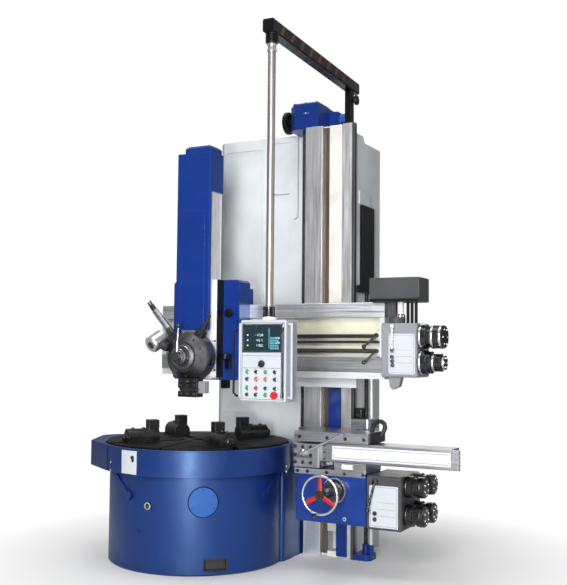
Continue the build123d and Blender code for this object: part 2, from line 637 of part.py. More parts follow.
def saddle():
    """The saddle's plate with the lip that hangs on the rail, its gib and the ram's guide strips."""
    back = RAIL_FRONT - SLIDE_GAP
    plate = block(SADDLE_X, (SADDLE_FRONT, back), SADDLE_Z)
    plate = chamfer(plate.edges().filter_by(Axis.Y), 20)
    hook = block((SADDLE_X[0] + 20, SADDLE_X[1] - 20), (back, RAIL_FRONT + RAIL_RECESS),
                 (RAIL_TOP + SLIDE_GAP, SADDLE_Z[1] - 60))
    body = plate + hook
    for side in (-1, 1):
        x = RAM_X + side * (RAM_W / 2 + SLIDE_GAP)
        strip = sorted((x, x + side * 34))
        body += block(strip, (SADDLE_FRONT - 88, SADDLE_FRONT), (SADDLE_Z[0] + 20, SADDLE_Z[1]))
    return body


def saddle_fittings():
    """The clamp knob, the small wheel with its bracket and the oil fitting under the saddle."""
    x = SADDLE_X[1] - 82
    mid = (SADDLE_Z[0] + SADDLE_Z[1]) / 2
    knob = forward(lathe([(0, 0), (14, 0), (14, 16), (30, 22), (34, 34), (28, 50), (0, 54)]), x, SADDLE_FRONT, mid + 134)
    bracket = block((x - 22, x + 18), (SADDLE_FRONT - 40, SADDLE_FRONT), (mid - 312, mid - 236))
    wheel = Pos(x - 10, SADDLE_FRONT - 50, mid - 236) * lathe([(0, 0), (40, 0), (46, 6), (46, 38), (40, 44), (0, 44)])
    fitting = block((RAM_X + RAM_W / 2 + 12, x - 30), (SADDLE_FRONT + 10, SADDLE_FRONT + 60),
                    (SADDLE_Z[0] - 66, SADDLE_Z[0]))
    return joined([knob, bracket + wheel, fitting])


def ram():
    """The square ram with its long edges broken, and its thicker front above the turret."""
    x = (RAM_X - RAM_W / 2, RAM_X + RAM_W / 2)
    bar_body = block(x, (RAM_FRONT, SADDLE_FRONT - SLIDE_GAP), (RAM_Z0, RAM_TOP))
    front = block(x, (COVER_FRONT + COVER_SHEET, RAM_FRONT + 10), (RAM_COVER_Z0, RAM_TOP))
    return chamfer(bar_body.edges().filter_by(Axis.Z), 5) + front


def ram_cover():
    """The cover over the ram's front and top, closed by a bevelled cap."""
    x = (RAM_X - 3 - COVER_W / 2, RAM_X - 3 + COVER_W / 2)
    back = COVER_FRONT + COVER_SHEET
    cover = section([(COVER_FRONT, RAM_COVER_Z0), (back, RAM_COVER_Z0), (back, RAM_TOP),
                     (SADDLE_FRONT - CLEAR, RAM_TOP), (SADDLE_FRONT - CLEAR, COVER_TOP),
                     (COVER_FRONT, COVER_TOP)], x)
    cover = chamfer(cover.edges().filter_by(Axis.Z).group_by(Axis.Y)[0], 6)
    cap = plan([(x[0] + 66, COVER_FRONT + 12), (x[1] - 10, COVER_FRONT + 12), (x[1] - 10, SADDLE_FRONT - 18),
                (x[0] + 66, SADDLE_FRONT - 18)], (COVER_TOP, COVER_TOP + CAP_H))
    return cover + chamfer(cap.edges().group_by(Axis.Z)[-1], 20)


def turret():
    """The turned turret: an indexing drum with a bore at each station, its cone, hub and nose."""
    face = DRUM_W + CONE_W
    profile = [(0, 0), (TURRET_R - 6, 0), (TURRET_R, 6), (TURRET_R, DRUM_W - 8), (TURRET_R - 8, DRUM_W),
               (118, face - 18), (100, face - 18), (100, face - 10), (76, face), (HUB_R, face),
               (HUB_R, face + HUB_W - 6), (HUB_R - 6, face + HUB_W), (NOSE_R, face + HUB_W),
               (NOSE_R, face + HUB_W + NOSE_W), (0, face + HUB_W + NOSE_W)]
    body = forward(lathe(profile), RAM_X, TURRET_BACK, TURRET_Z)
    body += rod_y(RAM_X, (TURRET_BACK, RAM_FRONT - SLIDE_GAP), TURRET_Z, 70)
    for number in range(STATIONS):
        bore = rod_x((TURRET_R - 34, TURRET_R + 4), 0, 0, STATION_R)
        body -= radial(bore, FIRST_STATION + 360 / STATIONS * number, TURRET_BACK - DRUM_W / 2)
    return body


def radial(shape, angle, y):
    """A shape drawn along +X, swung to its angle about the turret's axis."""
    return Pos(RAM_X, y, TURRET_Z) * Rot(0, -angle, 0) * shape


def turret_tools():
    """The boring bars, the cutter block, the socket holder and the index lever."""
    seat = rod_y(RAM_X, (TURRET_BACK - DRUM_W - 40, TURRET_BACK), TURRET_Z, TURRET_R + SLIDE_GAP)
    long_bar = lathe([(0, TURRET_R - 30), (25, TURRET_R - 30), (25, 380), (20, 386), (20, 448), (0, 448)])
    long_bar = Rot(0, 90, 0) * long_bar
    for side in (-1, 1):
        long_bar += block((440, 486), (-5, 5), sorted((side * 6, side * 17)))
    long_bar += block((TURRET_R - 10, TURRET_R + 40), (-30, 27), (-46, 46))
    short_bar = Rot(0, 90, 0) * lathe([(0, TURRET_R - 30), (17, TURRET_R - 30), (17, 300), (13, 304), (13, 378), (0, 378)])
    block_body = softened(block((TURRET_R - 22, 312), (-62, 27), (-88, 88)), 5)
    block_body -= block((240, 268), (-70, -24), (-90, 90))
    holder = Rot(58, 0, 0) * lathe([(0, -66), (60, -66), (66, -60), (66, 60), (58, 70), (30, 70), (30, 30), (0, 30)])
    holder = Pos(246, -70, 0) * holder + block((TURRET_R - 12, 200), (-50, 20), (-34, 34))
    pieces = [radial(long_bar, FIRST_STATION + 360 / STATIONS, TOOL_Y), radial(short_bar, FIRST_STATION, TOOL_Y),
              radial(block_body, 270, TOOL_Y), radial(holder, 160, TOOL_Y)]
    y = TURRET_BACK - DRUM_W - CONE_W - HUB_W - NOSE_W / 2
    lever = Rot(0, 90, 0) * lathe([(0, NOSE_R + SLIDE_GAP), (9, NOSE_R + SLIDE_GAP), (6, 225), (0, 225)])
    lever = lever + Pos(238, 0, 0) * ball(0, 0, 0, 17)
    return joined([piece - seat for piece in pieces] + [radial(lever, 87, y)])


def side_saddle():
    """The side head's saddle: a back plate on the ways, and a channel that holds the side ram."""
    y = (SIDE_FRONT, SIDE_DEPTH)
    body = block(SIDE_BACK_X, (SIDE_DEPTH, WAY_FRONT - SLIDE_GAP), SIDE_Z)
    body += block((PLATE_X0, SIDE_BOX_X[0] + 18), y, (SIDE_RAM_Z[1] + SLIDE_GAP, SIDE_Z[1]))
    body += block((PLATE_X0, APRON_X[1]), y, (APRON_Z[1], APRON_Z[1] + SHELF_T))
    body += block((GUIDE_X0, APRON_X[1]), y, (APRON_Z[1] + SHELF_T, SIDE_RAM_Z[0] - SLIDE_GAP))
    body += block((PLATE_X0, APRON_X[1]), (SIDE_FRONT + SIDE_RAM_D + CLEAR, SIDE_DEPTH),
                  (APRON_Z[1] + SHELF_T, SIDE_RAM_Z[1] + SLIDE_GAP))
    x0 = RIGHT_WAY_X[1] + CLEAR
    flange = block((x0, FLANGE_X1), (SIDE_DEPTH + 100, FEED_ROD_Y + 50), (SIDE_Z[1], FLANGE_Z1))
    flange = fillet(flange.edges().filter_by(Axis.Z).group_by(Axis.X)[-1], 30)
    body += flange
    for x, r in ((FEED_SCREW_X, FEED_SCREW_R), (FEED_ROD_X, FEED_ROD_R)):
        body -= rod_z(x, FEED_ROD_Y, (SIDE_Z[1], FLANGE_Z1), r + FIT)
    return body


def side_apron():
    return softened(block(APRON_X, (SIDE_FRONT, SIDE_DEPTH), APRON_Z), 6)


def side_ram():
    """The side ram's bar, its longer front plate and a shallow seat in that for the scale."""
    back = SIDE_FRONT + SIDE_RAM_D
    bar_body = block(SIDE_RAM_X, (SIDE_FRONT, back), SIDE_RAM_Z)
    bar_body = chamfer(bar_body.edges().filter_by(Axis.X), 5)
    bar_body -= block((SIDE_RAM_X[1] - SIDE_RAM_LIP, SIDE_RAM_X[1]), (SIDE_FRONT + SIDE_PLATE_T, back), SIDE_RAM_Z)
    return bar_body - block((GUIDE_X0 - 18, SIDE_RAM_X[1] - 60), (SIDE_FRONT, SIDE_FRONT + 4),
                            (SIDE_RAM_Z[0] + 20, SIDE_RAM_Z[1] - 19))


def tool_post():
    """The four-way tool post on the side ram's end, with its clamp lever."""
    front = SIDE_FRONT - POST_PROUD
    z = (APRON_Z[1] + SHELF_T + CLEAR, SIDE_RAM_Z[1] - 14)
    body = block((POST_X0, SIDE_RAM_X[0]), (front, SIDE_FRONT + SIDE_RAM_D), z)
    body = softened(body, 5)
    body -= block((POST_X0, SIDE_RAM_X[0] - 60), (front, front + 26), (z[0] + 74, z[0] + 98))
    hub = forward(lathe([(0, 0), (24, 0), (24, 18), (16, 26), (0, 26)]), POST_X0 + 88, front, z[1] - 66)
    lever = bar((POST_X0 + 88, front - 14, z[1] - 66), (POST_X0 + 410, front - 20, z[1] + 86), LEVER_R)
    return body + hub + lever


def side_feed_box():
    return softened(block(SIDE_BOX_X, SIDE_BOX_Y, SIDE_BOX_Z), 8)


def side_clutches():
    """Four turned clutch housings on the feed case's end."""
    r = SIDE_CLUTCH_R
    drum = lathe([(0, 0), (r, 0), (r, 56), (r - 14, 62), (r - 14, 84), (r - 4, 90),
                  (r - 4, SIDE_CLUTCH_L - 10), (r - 14, SIDE_CLUTCH_L), (0, SIDE_CLUTCH_L)])
    y0 = SIDE_BOX_Y[0] + r + 32
    z0 = SIDE_BOX_Z[0] + r + 27
    z1 = SIDE_BOX_Z[1] - r + 3
    return joined([along_x(drum, SIDE_BOX_X[1], y, z) for y in (y0, y0 + 200) for z in (z0, z1)])


def side_handwheel():
    """The three-spoke hand wheel with its turned rim, hub and crank handle."""
    flats = [math.radians(a) for a in range(0, 360, 45)]
    r = HANDWHEEL_R - RIM_R
    rim = lathe([(r + RIM_R * math.cos(a), RIM_R * math.sin(a)) for a in flats])
    wheel = rim + lathe([(0, -24), (26, -24), (32, -16), (32, 20), (0, 20)])
    for angle in (90, 210, 330):
        spoke = plan([(20, -13), (r, -9), (r, 9), (20, 13)], (-6, 6))
        wheel += Rot(0, 0, angle) * spoke
    grip = lathe([(0, 0), (8, 0), (8, 12), (13, 24), (15, 60), (11, 78), (0, 82)])
    wheel += Pos(-18, -r, 0) * grip
    hub_y = HANDWHEEL_Y
    return forward(wheel, HANDWHEEL_X, hub_y, HANDWHEEL_Z)


def side_controls():
    """The hand wheel's dial and flange, the feed lever, its knob and the apron's plug."""
    front = SIDE_FRONT
    reach = front - HANDWHEEL_Y - 24 - SLIDE_GAP
    dial = lathe([(0, 0), (92, 0), (92, 34), (86, 40), (66, 40), (66, 58), (72, 64), (72, 118), (66, 124),
                  (44, 124), (44, reach), (0, reach)])
    pieces = [forward(dial, HANDWHEEL_X, front, HANDWHEEL_Z)]
    x = SIDE_BOX_X[0] + 70
    z = SIDE_BOX_Z[1] - 42
    y = SIDE_BOX_Y[0]
    hub = forward(lathe([(0, 0), (24, 0), (24, 16), (14, 24), (0, 24)]), x, y, z)
    pieces.append(hub + bar((x, y - 16, z), (x - 42, y - 44, z - 196), 7) + ball(x - 43, y - 45, z - 204, 18))
    pieces.append(forward(lathe([(0, 0), (16, 0), (16, 10), (10, 18), (0, 18)]), x - 2, y, z - 268))
    pieces.append(forward(lathe([(0, 0), (15, 0), (15, 8), (9, 12), (0, 12)]), APRON_X[1] - 163, front, APRON_Z[0] + 42))
    return joined(pieces)


def main():
    os.makedirs("parts", exist_ok=True)
    makers = (table_housing, guard_ring, housing_covers, table_plate, column, column_ways, way_cover,
              side_slot_cover, column_foot, elevating_gearbox, brake_wheel, rail_lift_screw,
              side_feed_shafts, pendant_post, pendant_arm, pendant_tube, pendant_box, pendant_controls,
              cross_rail, rail_ways, rail_shafts, rail_end_bracket, rail_feed_box, rail_levers,
              rail_clutches, rail_terminal_box, rail_cables, saddle, saddle_fittings, ram, ram_cover,
              turret, turret_tools, side_saddle, side_apron, side_ram, tool_post, side_feed_box,
              side_clutches, side_handwheel, side_controls)
    nodes = {maker.__name__: maker() for maker in makers}
    for number, turn in enumerate((45, 135, 225, 315), start=1):
        nodes["jaw_%d" % number] = jaw(turn)
    for name, shape in nodes.items():
        export_step(shape, "parts/%s.step" % name)


main()
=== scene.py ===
# %% [markdown]
# # A vertical turret lathe, dressed for its photograph
# The solids of this machine come from a CAD program: castings, slides, shafts, tools and
# joints, each in its own named node. This lesson gives them paint and metal, and adds what is
# too small or too round for the solids: screws, threads, dials, buttons, rims and plates.
# Every new piece is a surface worked out as whole arrays, so each step has a formula to read.

# %% Load the solids
import math

import bmesh
import bpy
import numpy as np
from mathutils import Matrix, Vector


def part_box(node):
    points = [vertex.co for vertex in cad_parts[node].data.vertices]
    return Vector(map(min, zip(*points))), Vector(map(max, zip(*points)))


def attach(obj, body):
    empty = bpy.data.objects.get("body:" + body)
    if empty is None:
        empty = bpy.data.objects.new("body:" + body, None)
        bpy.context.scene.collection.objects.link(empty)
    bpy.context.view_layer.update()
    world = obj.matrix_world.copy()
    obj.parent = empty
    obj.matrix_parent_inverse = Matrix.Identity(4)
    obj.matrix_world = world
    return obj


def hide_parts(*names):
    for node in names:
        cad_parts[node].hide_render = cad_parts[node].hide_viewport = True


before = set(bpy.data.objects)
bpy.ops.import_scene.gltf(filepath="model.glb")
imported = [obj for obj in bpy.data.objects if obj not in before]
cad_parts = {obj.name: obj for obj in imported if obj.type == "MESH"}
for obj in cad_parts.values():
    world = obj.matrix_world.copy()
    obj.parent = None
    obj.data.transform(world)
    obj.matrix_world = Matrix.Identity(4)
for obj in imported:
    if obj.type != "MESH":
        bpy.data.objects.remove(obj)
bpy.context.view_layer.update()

# %% [markdown]
# ## Sizes that everything else is tied to
# A fitted piece has to follow the solid that carries it. So the places below are read from the
# boxes of the nodes, in metres, and only then used. Low is the corner with the smallest x, y
# and z, and high is the opposite one.

# %% Read the boxes
low = {name: np.array(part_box(name)[0]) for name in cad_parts}
high = {name: np.array(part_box(name)[1]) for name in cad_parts}
table_top = high["table_plate"][2]
drum_r = -low["table_housing"][1]
drum_top = high["table_housing"][2]
ring_r = drum_r + 0.060
ring_top = high["guard_ring"][2]
ram_x = (low["ram"][0] + high["ram"][0]) / 2
turret_z = (low["turret"][2] + high["turret"][2]) / 2
turret_r = (high["turret"][0] - low["turret"][0]) / 2
wheel_x = (low["side_handwheel"][0] + high["side_handwheel"][0]) / 2
wheel_z = high["side_handwheel"][2] - 0.145
print("table top %.3f, drum radius %.3f, ring top %.3f" % (table_top, drum_r, ring_top))

# %% [markdown]
# ## The camera
# The photographer stood in front of the machine and to its right, at about eye height, and
# looked slightly up. Where a camera stands and how it is turned can be solved from known
# points of the object. The answer is a place, three angles and a focal length in pixels.

# %% Place the camera
CAMERA_AT = Vector((3.990, -6.225, 1.638))
YAW, PITCH, ROLL = (math.radians(a) for a in (27.4575, 3.5686, 0.5233))
FOCAL_PIXELS, PHOTO_LONG_SIDE = 912.55, 585
ahead = Vector((-math.sin(YAW) * math.cos(PITCH), math.cos(YAW) * math.cos(PITCH), math.sin(PITCH)))
right = Vector((math.cos(YAW), math.sin(YAW), 0))
up = right.cross(ahead)
right, up = (right * math.cos(ROLL) + up * math.sin(ROLL), up * math.cos(ROLL) - right * math.sin(ROLL))
lens = bpy.data.cameras.new("camera")
lens.sensor_width = 36
lens.lens = FOCAL_PIXELS / PHOTO_LONG_SIDE * lens.sensor_width
lens.clip_end = 200
camera = bpy.data.objects.new("camera", lens)
camera.matrix_world = Matrix.Translation(CAMERA_AT) @ Matrix((right, up, -ahead)).transposed().to_4x4()
bpy.context.scene.collection.objects.link(camera)
bpy.context.scene.camera = camera
bpy.context.scene.view_settings.view_transform = "Standard"
print("lens %.1f mm" % lens.lens)

# %% [markdown]
# ## Nodes of a finish
# A finish is a small network: a place on the object goes through noises, the noises choose
# between colours, and the result feeds the shader. A few helpers keep each finish short enough
# to read. Every pattern starts from Object coordinates, which stay put when a part moves.


# %% Helpers for the networks
def node(tree, kind, sockets=None, **settings):
    """Adds a node, sets or links its sockets, and returns its outputs."""
    made = tree.nodes.new("ShaderNode" + kind)
    for key, value in settings.items():
        setattr(made, key, value)
    for key, value in (sockets or {}).items():
        if isinstance(value, bpy.types.NodeSocket):
            tree.links.new(value, made.inputs[key])
        else:
            made.inputs[key].default_value = value
    return made.outputs


def spot(tree, scale=(1, 1, 1), centre=(0, 0, 0)):
    """The point on the object, measured from a centre and stretched along its axes."""
    moved = tuple(-c * s for c, s in zip(centre, scale))
    return node(tree, "Mapping", {"Vector": node(tree, "TexCoord")["Object"], "Scale": scale,
                                  "Location": moved})[0]


def noise(tree, place, scale, detail=3.0, rough=0.55):
    return node(tree, "TexNoise", {"Vector": place, "Scale": scale, "Detail": detail, "Roughness": rough})[0]


def ranged(tree, value, a, b, to=(0.0, 1.0)):
    """Carries the stretch a to b onto the two numbers in to, and holds it there outside."""
    return node(tree, "MapRange", {"Value": value, "From Min": a, "From Max": b, "To Min": to[0],
                                   "To Max": to[1]})[0]


def mixed(tree, share, a, b):
    """Colour a where share is 0, colour b where it is 1."""
    sockets = {0: share}
    for key, colour in ((6, a), (7, b)):
        sockets[key] = colour if isinstance(colour, bpy.types.NodeSocket) else (*colour, 1)
    return node(tree, "Mix", sockets, data_type="RGBA")[2]


def times(tree, a, b):
    return node(tree, "Math", {0: a, 1: b}, operation="MULTIPLY")[0]


def axis_of(tree, axis, place=None):
    """One coordinate of the place, as a number in metres."""
    return node(tree, "SeparateXYZ", {0: place or spot(tree)})["XYZ".index(axis)]


def worn_edges(tree, radius):
    """0 on flat metal and 1 on an edge: how far the rounded normal leans from the true one."""
    rounded = node(tree, "Bevel", {"Radius": radius}, samples=4)[0]
    true = node(tree, "NewGeometry")["True Normal"]
    lean = node(tree, "VectorMath", {0: rounded, 1: true}, operation="DOT_PRODUCT")["Value"]
    return ranged(tree, lean, 0.985, 0.80), rounded


def blank(name, **shader_values):
    """A new material and its shader, whose even values are set on the shader's own sockets."""
    material = bpy.data.materials.new(name)
    material.use_nodes = True
    shader = material.node_tree.nodes["Principled BSDF"]
    for key, value in shader_values.items():
        shader.inputs[key.replace("_", " ")].default_value = value
    return material, material.node_tree, shader


def plug_in(tree, shader, **links):
    """Joins the finished networks to the shader's sockets."""
    for key, socket in links.items():
        tree.links.new(socket, shader.inputs[key.replace("_", " ")])


print("helpers ready")

# %% [markdown]
# ## Enamel on castings
# The blue is thick machine enamel, brushed or sprayed over filler on rough iron. It could be one
# colour with gloss, but real enamel has three more things: soft clouds of tone, an orange-peel
# skin that breaks up the highlights, and edges where tools have knocked it through to grey
# filler. Oil and dust also darken it near the floor.


# %% Enamel
def enamel(name, colour, rough=0.36, sheen=(1, 1, 1), level=0.30, coat=0.0, peel=1.0,
           under=(0.30, 0.30, 0.31), chips=1.0, grime=0.30, haze=0.22):
    """Paint over iron: cloudy tone, orange peel, chipped edges and a dusty foot."""
    material, tree, shader = blank(name, Specular_IOR_Level=level, Specular_Tint=(*sheen, 1),
                                   Coat_Weight=coat, Coat_Roughness=haze, Coat_Tint=(*sheen, 1))
    place = spot(tree)
    clouds = noise(tree, place, 1.6, 4)
    tone = mixed(tree, ranged(tree, clouds, 0.32, 0.68), [c * 0.86 for c in colour],
                 [min(1, c * 1.10) for c in colour])
    specks = ranged(tree, noise(tree, place, 46, 5, 0.7), 0.60, 0.78, (0.0, 0.30))
    tone = mixed(tree, specks, tone, [c * 0.62 for c in colour])
    foot = times(tree, ranged(tree, axis_of(tree, "Z"), 0.40, 0.0, (0.0, grime)),
                 ranged(tree, noise(tree, place, 7, 5), 0.35, 0.65))
    tone = mixed(tree, foot, tone, [c * 0.35 for c in colour])
    edge, rounded = worn_edges(tree, 0.004)
    knocks = times(tree, edge, ranged(tree, noise(tree, place, 17, 5, 0.7), 0.53, 0.62, (0.0, chips)))
    tone = mixed(tree, knocks, tone, under)
    skin = node(tree, "Bump", {"Height": noise(tree, place, 210, 2), "Strength": 0.08 * peel,
                               "Distance": 0.002, "Normal": rounded})[0]
    skin = node(tree, "Bump", {"Height": noise(tree, place, 9, 3), "Strength": 0.14 * peel,
                               "Distance": 0.012, "Normal": skin})[0]
    gloss = ranged(tree, noise(tree, place, 5, 4), 0.3, 0.7, (rough - 0.07, rough + 0.10))
    plug_in(tree, shader, Base_Color=tone, Roughness=gloss, Normal=skin)
    return material


BLUE, BLUE_SHEEN = (0.0085, 0.038, 0.225), (0.34, 0.60, 1.0)
blue = enamel("blue_enamel", BLUE, rough=0.33, sheen=BLUE_SHEEN, level=0.55, coat=0.35)
# The drum and the ring take the blue at 0.6 of its tone with more sheen; the darker base is painted shade for
# the drum's curved sides.
shaded_drum_blue = enamel("drum_enamel", [c * 0.60 for c in BLUE], rough=0.38, sheen=BLUE_SHEEN, level=1.0,
                   coat=0.12, haze=0.30)
pale_blue = enamel("pale_blue_enamel", (0.026, 0.095, 0.360), sheen=BLUE_SHEEN, level=0.6, chips=0.3)
white = enamel("white_casting", (0.70, 0.735, 0.765), rough=0.50, level=0.20, peel=1.5, chips=0.6,
               under=(0.42, 0.42, 0.42))
charcoal = enamel("charcoal_paint", (0.075, 0.077, 0.082), rough=0.42, level=0.25)
slate = enamel("slate_paint", (0.30, 0.31, 0.335), rough=0.42, level=0.25)
cream = enamel("cream_paint", (0.86, 0.83, 0.72), rough=0.45, level=0.20, chips=0.5)
black_paint = enamel("black_paint", (0.0042, 0.0042, 0.0048), rough=0.32, level=0.20,
                     under=(0.10, 0.10, 0.10))
orange = enamel("stripe_orange", (0.14, 0.030, 0.018), rough=0.40, grime=0.0, chips=0.2)
red = enamel("wheel_red", (0.50, 0.020, 0.020), rough=0.28, level=0.4)
print("enamels:", sum("paint" in m.name or "enamel" in m.name for m in bpy.data.materials))

# %% [markdown]
# ## Pendant paint
# The pendant's case is pressed sheet with a powder coat: an even, fine, slightly pebbled skin
# with finger marks near the controls. The pebbles come from a fine noise, and the marks from a
# broad one that only touches the roughness.


# %% Powder coat
def powder_coat(name, colour, rough=0.45):
    material, tree, shader = blank(name, Specular_IOR_Level=0.25)
    place = spot(tree)
    tone = mixed(tree, ranged(tree, noise(tree, place, 9, 4), 0.3, 0.7), [c * 0.93 for c in colour], colour)
    edge, rounded = worn_edges(tree, 0.003)
    tone = mixed(tree, times(tree, edge, ranged(tree, noise(tree, place, 30, 4), 0.55, 0.65, (0, 0.6))),
                 tone, (0.34, 0.34, 0.35))
    skin = node(tree, "Bump", {"Height": noise(tree, place, 900, 1), "Strength": 0.12, "Distance": 0.001,
                               "Normal": rounded})[0]
    marks = ranged(tree, noise(tree, place, 14, 4), 0.35, 0.7, (rough - 0.12, rough + 0.10))
    plug_in(tree, shader, Base_Color=tone, Roughness=marks, Normal=skin)
    return material


pendant_paint = powder_coat("pendant_paint", (0.51, 0.54, 0.60))
plate_silver = powder_coat("plate_silver", (0.66, 0.69, 0.74), 0.34)
white_plastic = powder_coat("white_plastic", (0.80, 0.82, 0.84), 0.38)
print("powder coats: 3")

# %% [markdown]
# ## Ground steel
# A slideway is ground along its length and then scraped. Grinding leaves streaks that run one
# way, so the noise is squeezed across the travel and drawn out along it. Oil lies on it in
# thin brownish films. Metal shows no colour of its own under a soft light, so the streaks go
# mostly into the roughness.


# %% Ground and drawn steel
def ground_steel(name, along, tone=(0.56, 0.56, 0.57), rough=0.30, film=0.5, shade=None, metal=1.0):
    """Streaks along one axis.

    Shade may darken one stretch with painted shade: (axis, where it starts, where it is full, share)."""
    material, tree, shader = blank(name, Metallic=metal)
    stretch = [130.0, 130.0, 130.0]
    stretch["XYZ".index(along)] = 2.0
    place = spot(tree)
    streaks = noise(tree, spot(tree, stretch), 1.0, 4, 0.65)
    colour = mixed(tree, ranged(tree, streaks, 0.3, 0.7), [c * 0.80 for c in tone],
                   [min(1, c * 1.18) for c in tone])
    oil = ranged(tree, noise(tree, place, 3.5, 5, 0.6), 0.50, 0.72, (0.0, film))
    colour = mixed(tree, oil, colour, [c * f for c, f in zip(tone, (0.62, 0.57, 0.50))])
    edge, rounded = worn_edges(tree, 0.003)
    colour = mixed(tree, times(tree, edge, 0.5), colour, [min(1, c * 1.4) for c in tone])
    if shade:
        painted_shade = ranged(tree, axis_of(tree, shade[0]), shade[1], shade[2], (0.0, shade[3]))
        colour = mixed(tree, painted_shade, colour, [c * 0.10 for c in tone])
    scraped = node(tree, "TexVoronoi", {"Vector": place, "Scale": 70.0})[0]
    skin = node(tree, "Bump", {"Height": streaks, "Strength": 0.10, "Distance": 0.001, "Normal": rounded})[0]
    skin = node(tree, "Bump", {"Height": scraped, "Strength": 0.05, "Distance": 0.001, "Normal": skin})[0]
    gloss = ranged(tree, streaks, 0.25, 0.75, (rough - 0.10, rough + 0.16))
    plug_in(tree, shader, Base_Color=colour, Roughness=gloss, Normal=skin)
    return material


# The right way's side face, past x 1.121, gets painted shade.
steel_up = ground_steel("way_steel_upright", "Z", (0.78, 0.78, 0.81), rough=0.36,
                        shade=("X", 1.121, 1.123, 0.95))
# The rail's lower way, below z 1.60, gets painted shade.
steel_across = ground_steel("way_steel_level", "X", (0.74, 0.77, 0.80), rough=0.36,
                            shade=("Z", 1.62, 1.60, 0.50))
# The ram's steel is only partly metal, so its pale tone shows as bright diffuse colour: a painted reflection
# of the white column beside it.
steel_ram = ground_steel("ram_steel", "Z", (0.78, 0.78, 0.81), rough=0.30, film=0.2, metal=0.35)
steel_head = ground_steel("side_head_steel", "X", (0.46, 0.47, 0.51), film=0.4)
steel_bar = ground_steel("side_ram_steel", "X", (0.30, 0.30, 0.325), rough=0.36)
steel_tube = ground_steel("tube_steel", "Z", (0.36, 0.34, 0.33), rough=0.44, film=0.3)
steel_bright = ground_steel("bright_steel", "Y", (0.62, 0.62, 0.63), rough=0.22, film=0.1)
steel_dark = ground_steel("shaft_steel", "X", (0.075, 0.075, 0.080), rough=0.28, film=0.2)
# The groove's dark metal is painted shade in the gap beside the left way.
groove_shade_steel = ground_steel("groove_bronze", "Z", (0.17, 0.145, 0.115), rough=0.42)
print("ground steels: 9")

# %% [markdown]
# ## Turned metal
# What comes off a lathe carries the tool's track: fine circles round the axis it was turned on.
# The distance from that axis, fed into a noise, gives circles on a face and rings on a barrel,
# because everything at one distance has one shade.


# %% Turned and cast metal
def turned_metal(name, axis, centre, tone=(0.30, 0.30, 0.31), rough=0.30, pitch=420.0, blotch=0.5,
                 metallic=1.0):
    """Noise over (distance from the axis, distance along it), so the pattern has that axis."""
    material, tree, shader = blank(name, Metallic=metallic)
    place = spot(tree)
    number = "XYZ".index(axis)
    flat = [1.0, 1.0, 1.0]
    flat[number] = 0.0
    radius = node(tree, "VectorMath", {0: spot(tree, flat, centre)}, operation="LENGTH")["Value"]
    track = node(tree, "CombineXYZ", {0: times(tree, radius, pitch),
                                      1: times(tree, axis_of(tree, axis), pitch)})[0]
    rings = noise(tree, track, 1.0, 3, 0.6)
    patches = noise(tree, place, 9, 5, 0.6)
    colour = mixed(tree, ranged(tree, rings, 0.3, 0.7), [c * 0.70 for c in tone],
                   [min(1, c * 1.30) for c in tone])
    colour = mixed(tree, ranged(tree, patches, 0.45, 0.75, (0.0, blotch)), colour, [c * 0.45 for c in tone])
    edge, rounded = worn_edges(tree, 0.0035)
    colour = mixed(tree, times(tree, edge, 0.75), colour, [min(1, c * 2.0 + 0.12) for c in tone])
    skin = node(tree, "Bump", {"Height": rings, "Strength": 0.16, "Distance": 0.001, "Normal": rounded})[0]
    gloss = ranged(tree, patches, 0.3, 0.7, (rough - 0.08, rough + 0.14))
    plug_in(tree, shader, Base_Color=colour, Roughness=gloss, Normal=skin)
    return material


table_iron = turned_metal("table_iron", "Z", (0, 0, 0), (0.014, 0.0137, 0.0145), 0.60, 260.0, 0.6)
turret_steel = turned_metal("turret_steel", "Y", (ram_x, 0, turret_z), (0.125, 0.125, 0.135), 0.34)
dial_steel = turned_metal("dial_steel", "Y", (wheel_x, 0, wheel_z), (0.10, 0.10, 0.105), 0.30)
clutch_steel = turned_metal("clutch_steel", "X", (0, high["rail_clutches"][1] - 0.09, 1.646),
                            (0.06, 0.06, 0.065), 0.24, 300.0)
print("turned metals: 4")

# %% [markdown]
# ## Blackened steel, plastics, chrome and glass
# Chuck jaws and tool blocks are blackened: a thin dark oxide that rubs off along the edges and
# leaves bare steel there. Plastics need only a faint mottling. Chrome gets fine smears, because
# a perfect mirror looks like a hole in a soft white studio.


# %% Black oxide, plastics, chrome, glass
def black_oxide(name, tone=0.020, rough=0.34, rub=0.9):
    material, tree, shader = blank(name, Metallic=0.0)
    place = spot(tree)
    patches = noise(tree, place, 13, 5, 0.65)
    colour = mixed(tree, ranged(tree, patches, 0.35, 0.7), (tone * 0.6,) * 3,
                   (tone * 1.9, tone * 1.85, tone * 1.8))
    edge, rounded = worn_edges(tree, 0.003)
    bare = times(tree, edge, ranged(tree, noise(tree, place, 28, 4), 0.42, 0.60, (0.15, rub)))
    colour = mixed(tree, bare, colour, (0.50, 0.49, 0.48))
    skin = node(tree, "Bump", {"Height": noise(tree, place, 160, 3), "Strength": 0.12, "Distance": 0.001,
                               "Normal": rounded})[0]
    plug_in(tree, shader, Base_Color=colour, Metallic=bare, Normal=skin)
    plug_in(tree, shader, Roughness=ranged(tree, patches, 0.3, 0.7, (rough - 0.06, rough + 0.14)))
    return material


def plastic(name, colour, rough=0.28, coat=0.0, emit=0.0):
    material, tree, shader = blank(name, Coat_Weight=coat, Emission_Strength=emit,
                                   Emission_Color=(*colour, 1))
    place = spot(tree)
    mottle = noise(tree, place, 60, 3)
    tone = mixed(tree, ranged(tree, mottle, 0.3, 0.7), [c * 0.86 for c in colour],
                 [min(1, c * 1.08) for c in colour])
    skin = node(tree, "Bump", {"Height": noise(tree, place, 500, 2), "Strength": 0.06, "Distance": 0.0006})[0]
    plug_in(tree, shader, Base_Color=tone,
            Roughness=ranged(tree, mottle, 0.3, 0.7, (rough - 0.05, rough + 0.08)), Normal=skin)
    return material


